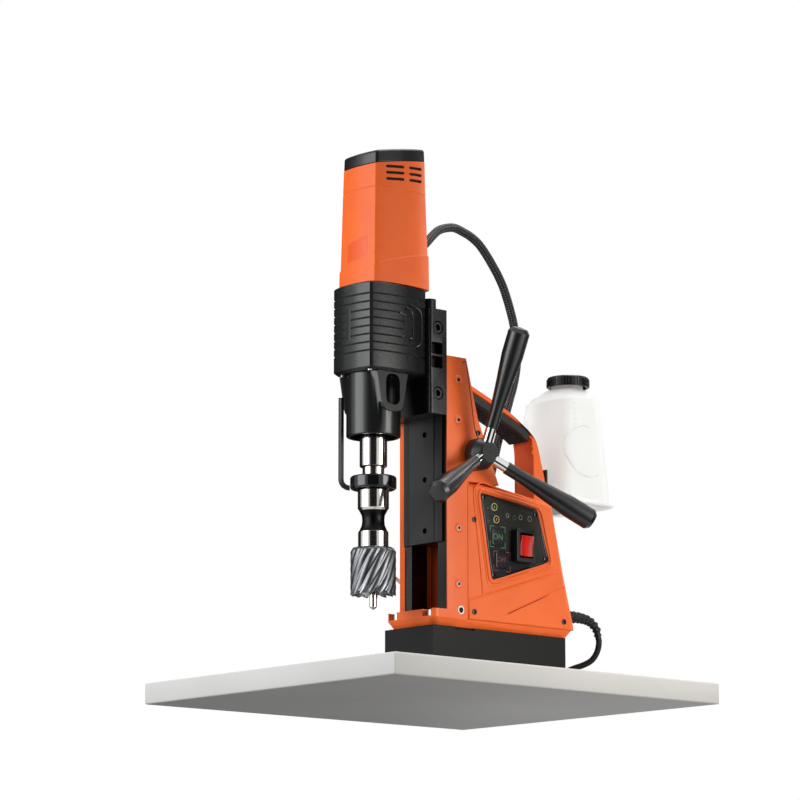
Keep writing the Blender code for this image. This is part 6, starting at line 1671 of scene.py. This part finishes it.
@dataclass
class Housing(Assembly):
    """Side covers, control panel, keys and switch."""

    looks = {
        "side_cover_left": (Look.ORANGE_SHELL, 0.0010),
        "side_cover_right": (Look.ORANGE_SHELL, 0.0010),
        "switch_bezel": (Look.BLACK_PLASTIC, 0.0005),
        "rocker": (Look.LENS, 0.0006),
        "on_key": (Look.PANEL, 0.0002),
        "off_key": (Look.PANEL, 0.0002),
        "mode_key": (Look.PANEL, 0.0002),
        "speed_key": (Look.PANEL, 0.0002),
        "conduit_gland": (Look.BLACK_PLASTIC, 0.0004),
        "strain_relief": (Look.RUBBER, 0.0004),
    }
    plain = {"circuit_board": Look.BOARD}
    cover_screws: tuple[tuple[float, float], ...] = (
        (-0.0392, 0.171), (-0.0405, 0.068), (0.096, 0.0678),
    )
    cover_head: Point = (0.0031, 0.0010, 0.55)
    panel_screws: tuple[tuple[float, float], ...] = (
        (-0.0268, 0.1974), (0.0525, 0.1852), (0.0675, 0.1367), (-0.0122, 0.1114),
    )
    panel_head: Point = (0.0027, 0.0016, 0.5)
    panel_corners: tuple[tuple[float, float], ...] = (
        (-0.0308, 0.2020), (0.0562, 0.1890), (0.0722, 0.1330), (-0.0136, 0.1056),
    )
    beads: tuple[tuple[tuple[float, float], ...], ...] = (
        ((-0.0470, 0.0811), (-0.0252, 0.0875), (0.0350, 0.1063), (0.0930, 0.1245)),
        ((-0.0262, 0.0890), (-0.0334, 0.1486), (-0.0396, 0.1991), (-0.0361, 0.2091),
         (-0.0266, 0.2134), (-0.0007, 0.2097), (0.0560, 0.2008)),
    )
    bead_radius: float = 0.0011
    groove: tuple[tuple[float, float], ...] = (
        (0.0102, 0.0698), (0.0551, 0.0888), (0.0985, 0.1072),
    )
    groove_radius: float = 0.0005
    panel_corner: float = 0.0085
    panel_bead: tuple[float, float] = (0.0046, 0.0016)
    panel_rim: tuple[float, float] = (-0.0010, 0.0012)
    key_rings: tuple[tuple[str, tuple[float, float]], ...] = (
        ("mode_key", (-0.0102, 0.1879)), ("speed_key", (-0.0073, 0.1741)),
    )
    key_ring: tuple[float, float] = (0.0036, 0.0043)
    key_bar: tuple[float, float] = (0.0006, 0.0030)
    marks: tuple[tuple[str, tuple[float, float], float, float, Look], ...] = (
        ("green_lamp", (-0.0193, 0.1858), 0.0001, 0.0008, Look.GREEN_INK),
        ("red_lamp", (-0.0171, 0.1714), 0.0001, 0.0008, Look.RED_INK),
        ("mark_1", (0.0102, 0.1803), 0.0020, 0.0024, Look.GREY_INK),
        ("mark_2", (0.0209, 0.1787), 0.0022, 0.0027, Look.GREEN_INK),
        ("mark_3", (0.0302, 0.1801), 0.0022, 0.0027, Look.YELLOW_INK),
        ("mark_4", (0.0441, 0.1797), 0.0026, 0.0031, Look.GREY_INK),
    )
    frames: tuple[tuple[str, tuple[float, float], tuple[float, float], Look], ...] = (
        ("on_frame", (-0.0051, 0.1547), (0.0225, 0.0235), Look.GREEN_INK),
        ("off_frame", (0.0013, 0.1277), (0.0250, 0.0215), Look.RED_INK),
    )
    frame_share: float = 0.28
    frame_line: float = 0.0008
    words: tuple[tuple[str, tuple[float, float], float, Look], ...] = (
        ("on", (-0.0051, 0.1545), 0.0095, Look.GREEN_INK),
        ("off", (0.0005, 0.1293), 0.0080, Look.RED_INK),
    )
    side: float = 0.0418
    lift: float = 0.0001

    def on_wall(self, node: str, line: Sequence[Point], lift: float = 0.0) -> list[Vector]:
        """The places of a line on the right side of a solid, given along and up."""
        return landed(node, [(self.side, y, z) for y, z in line], -RIGHT, lift)

    def border(self, grow: float, node: str) -> list[Vector]:
        """A rounded line round the panel.

        Args:
            grow: How far outside the panel's corners it runs.
            node: The solid that it lies on.

        Returns:
            The line's points; the last one meets the first.
        """
        corners = [Vector((self.side, y, z)) for y, z in self.panel_corners]
        middle = sum(corners, Vector()) / 4
        corners = [c + (c - middle).normalized() * grow * 1.35 for c in corners]
        knots = []
        around = zip(corners[-1:] + corners, corners, corners[1:] + corners[:1])
        for before, here, after in around:
            knots.append(here + (before - here).normalized() * self.panel_corner)
            knots.append(here.lerp((before + after) / 2, 0.058))
            knots.append(here + (after - here).normalized() * self.panel_corner)
            knots.append(here.lerp(after, 0.5))
        return smooth_path(landed(node, knots + knots[:1], -RIGHT))

    def broken_frame(self, middle: Point, size: Point) -> Mesh:
        """The four printed corners round a key.

        Args:
            middle: The key's middle, along and up.
            size: The frame's width and height.

        Returns:
            The corners, on the panel.
        """
        bars = []
        width, height = size
        wide, tall = width * self.frame_share, height * self.frame_share
        for side in (-1, 1):
            for level in (-1, 1):
                y, z = middle[0] + side * width / 2, middle[1] + level * height / 2
                for y_off, z_off, y_size, z_size in (
                    (-side * wide / 2, 0.0, wide, self.frame_line),
                    (0.0, -level * tall / 2, self.frame_line, tall),
                ):
                    (seat,) = self.on_wall(PANEL, [(y + y_off, z + z_off)], self.lift)
                    bars.append(block((self.lift, y_size, z_size), Matrix.Translation(seat)))
        return gathered(bars)

    def detail(self) -> None:
        """Adds the cover's beads, a painted shade line along its groove, the panel with its
        borders, the screws and prints.
        """
        dressed(PANEL, Look.PANEL, 0.0004, corner=self.panel_corner)
        for k, line in enumerate(self.beads, 1):
            bead = swept(smooth_path(self.on_wall(COVER, line)), self.bead_radius, 10)
            settle(bead, f"cover_bead_{k}", Look.ORANGE_SHELL, "frame", ROUND)
        # Painted shade: a thin dark orange line along the cover's groove.
        groove = swept(smooth_path(self.on_wall(COVER, self.groove)), self.groove_radius, 8)
        settle(groove, "cover_groove_shade", Look.ORANGE_PAINTED_SHADE, "frame", ROUND)
        grow, radius = self.panel_bead
        settle(swept(self.border(grow, COVER), radius, 12),
               "panel_bead", Look.ORANGE_SHELL, "frame", ROUND)
        grow, radius = self.panel_rim
        settle(swept(self.border(grow, PANEL), radius, 8),
               "panel_rim", Look.BLACK_GLOSS, "frame", ROUND)
        seats = self.on_wall(COVER, self.cover_screws)
        settle(gathered([screw(seat, RIGHT, *self.cover_head) for seat in seats]),
               "cover_screws", Look.BLACK_STEEL, "frame")
        seats = self.on_wall(PANEL, self.panel_screws)
        settle(gathered([screw(seat, RIGHT, *self.panel_head) for seat in seats]),
               "panel_screws", Look.BLACK_GLOSS, "frame")
        self.prints()

    def prints(self) -> None:
        """Adds what is printed on the panel and its keys."""
        for node, at in self.key_rings:
            (seat,) = self.on_wall(node, [at])
            middle = Matrix.Translation(seat + RIGHT * self.lift / 2)
            bar = block((self.lift, *self.key_bar), middle)
            settle(gathered([ring(seat, RIGHT, *self.key_ring, self.lift), bar]),
                   f"{node}_ring", Look.YELLOW_INK, frame["nodes"][node]["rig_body"])
        for name, at, inner, outer, look in self.marks:
            (seat,) = self.on_wall(PANEL, [at])
            settle(ring(seat, RIGHT, inner, outer, self.lift, 24), name, look, "frame")
        for name, middle, size, look in self.frames:
            settle(self.broken_frame(middle, size), name, look, "frame")
        for word, at, height, look in self.words:
            node = f"{word}_key"
            (seat,) = self.on_wall(node, [at], self.lift)
            settle(lettering(word.upper(), height, on_side(seat)),
                   f"{word}_letters", look, frame["nodes"][node]["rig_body"])


@dataclass
class Handle(Assembly):
    """Carry handle and its soft grip."""

    looks = {"carry_handle": (Look.ORANGE_SHELL, 0.0030), "handle_grip": (Look.RUBBER, 0.0008)}
    ridge_start: float = -0.004
    ridge_pitch: float = 0.0044
    ridge_count: int = 14
    ridge_size: Point = (0.021, 0.0016, 0.0014)
    ridge_edge: float = 0.0005
    grip_low: float = 0.21

    def detail(self) -> None:
        """Adds the short ridges across the grip's underside."""
        along = [self.ridge_start + k * self.ridge_pitch for k in range(self.ridge_count)]
        bars = [
            block(self.ridge_size, Matrix.Translation(seat), self.ridge_edge)
            for seat in landed("handle_grip", [(0.0, y, 0.2) for y in along], UP)
            if seat.z > self.grip_low
        ]
        settle(gathered(bars), "grip_ridges", Look.RUBBER, "frame")


@dataclass
class Bottle(Assembly):
    """Coolant bottle with its cap, bracket and tap."""

    looks = {
        "bottle_cap": (Look.BLACK_PLASTIC, 0.0004),
        "bottle_bracket": (Look.BLACK_STEEL, 0.0005),
        "bottle_tap": (Look.BRONZE, 0.0004),
    }
    recess_middle: tuple[float, float] = (0.1466, 0.2709)
    recess_radius: float = 0.0300
    middle: tuple[float, float] = (-0.0145, 0.148)
    taper_low: float = 0.235
    taper_high: float = 0.340
    taper_right: float = 0.15
    taper_left: float = 0.07
    taper_along: float = 0.11
    cap_ribs: int = 44
    rib_size: Point = (0.0012, 0.0013, 0.0086)
    rib_drop: float = 0.0008
    rib_edge: float = 0.0004
    rim_radius: float = 0.0017
    scale_place: tuple[float, float] = (0.1340, 0.3010)
    scale_pitch: float = 0.0062
    scale_ticks: tuple[float, ...] = (0.0090, 0.0055, 0.0055, 0.0055, 0.0055, 0.0090)
    tick_depth: float = 0.0012
    tick_height: float = 0.0009
    tick_edge: float = 0.0003

    def detail(self) -> None:
        """Adds the bottle, its cap's ribs, and the round step and the scale in its right face."""
        bottle = dressed("coolant_bottle", Look.BOTTLE, 0.0025, 36.0)
        for vert in bottle.data.vertices:
            x, y, z = vert.co
            share = min(max((z - self.taper_low) / (self.taper_high - self.taper_low), 0.0), 1.0)
            taper = self.taper_right if x > self.middle[0] else self.taper_left
            vert.co.x = self.middle[0] + (x - self.middle[0]) * (1 - taper * share)
            vert.co.y = self.middle[1] + (y - self.middle[1]) * (1 - self.taper_along * share)
        low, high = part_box("bottle_cap")
        middle, radius = (low + high) / 2, (high.x - low.x) / 2
        ribs = []
        for k in range(self.cap_ribs):
            turn = Matrix.Rotation(k * math.tau / self.cap_ribs, 4, "Z")
            out = Matrix.Translation((radius, 0, -self.rib_drop))
            place = Matrix.Translation(middle) @ turn @ out
            ribs.append(block(self.rib_size, place, self.rib_edge, 1))
        settle(gathered(ribs), "cap_ribs", Look.BLACK_PLASTIC, "bottle_cap")
        y, z = self.recess_middle
        turns = [k * math.tau / 24 for k in range(5, 21)]
        spots = [
            (0.0, y + self.recess_radius * math.cos(turn), z + self.recess_radius * math.sin(turn))
            for turn in turns
        ]
        rim = swept(smooth_path(landed_on(bottle, spots, -RIGHT)), self.rim_radius, 10)
        settle(rim, "bottle_recess_rim", Look.BOTTLE, "frame", ROUND)
        y, z = self.scale_place
        spots = [(0.0, y, z + k * self.scale_pitch) for k in range(len(self.scale_ticks))]
        ticks = []
        for width, seat in zip(self.scale_ticks, landed_on(bottle, spots, -RIGHT)):
            size = (self.tick_depth, width, self.tick_height)
            ticks.append(block(size, Matrix.Translation(seat), self.tick_edge))
        settle(gathered(ticks), "bottle_scale", Look.BOTTLE, "frame")


def main() -> None:
    """Builds the scene."""
    logging.basicConfig(level=logging.INFO, format="%(name)s: %(message)s")
    for kind in (Studio, Cords, Stand, Feed, DrillUnit, Motor, Housing, Handle, Bottle):
        kind().build()


if __name__ == "__main__":
    main()
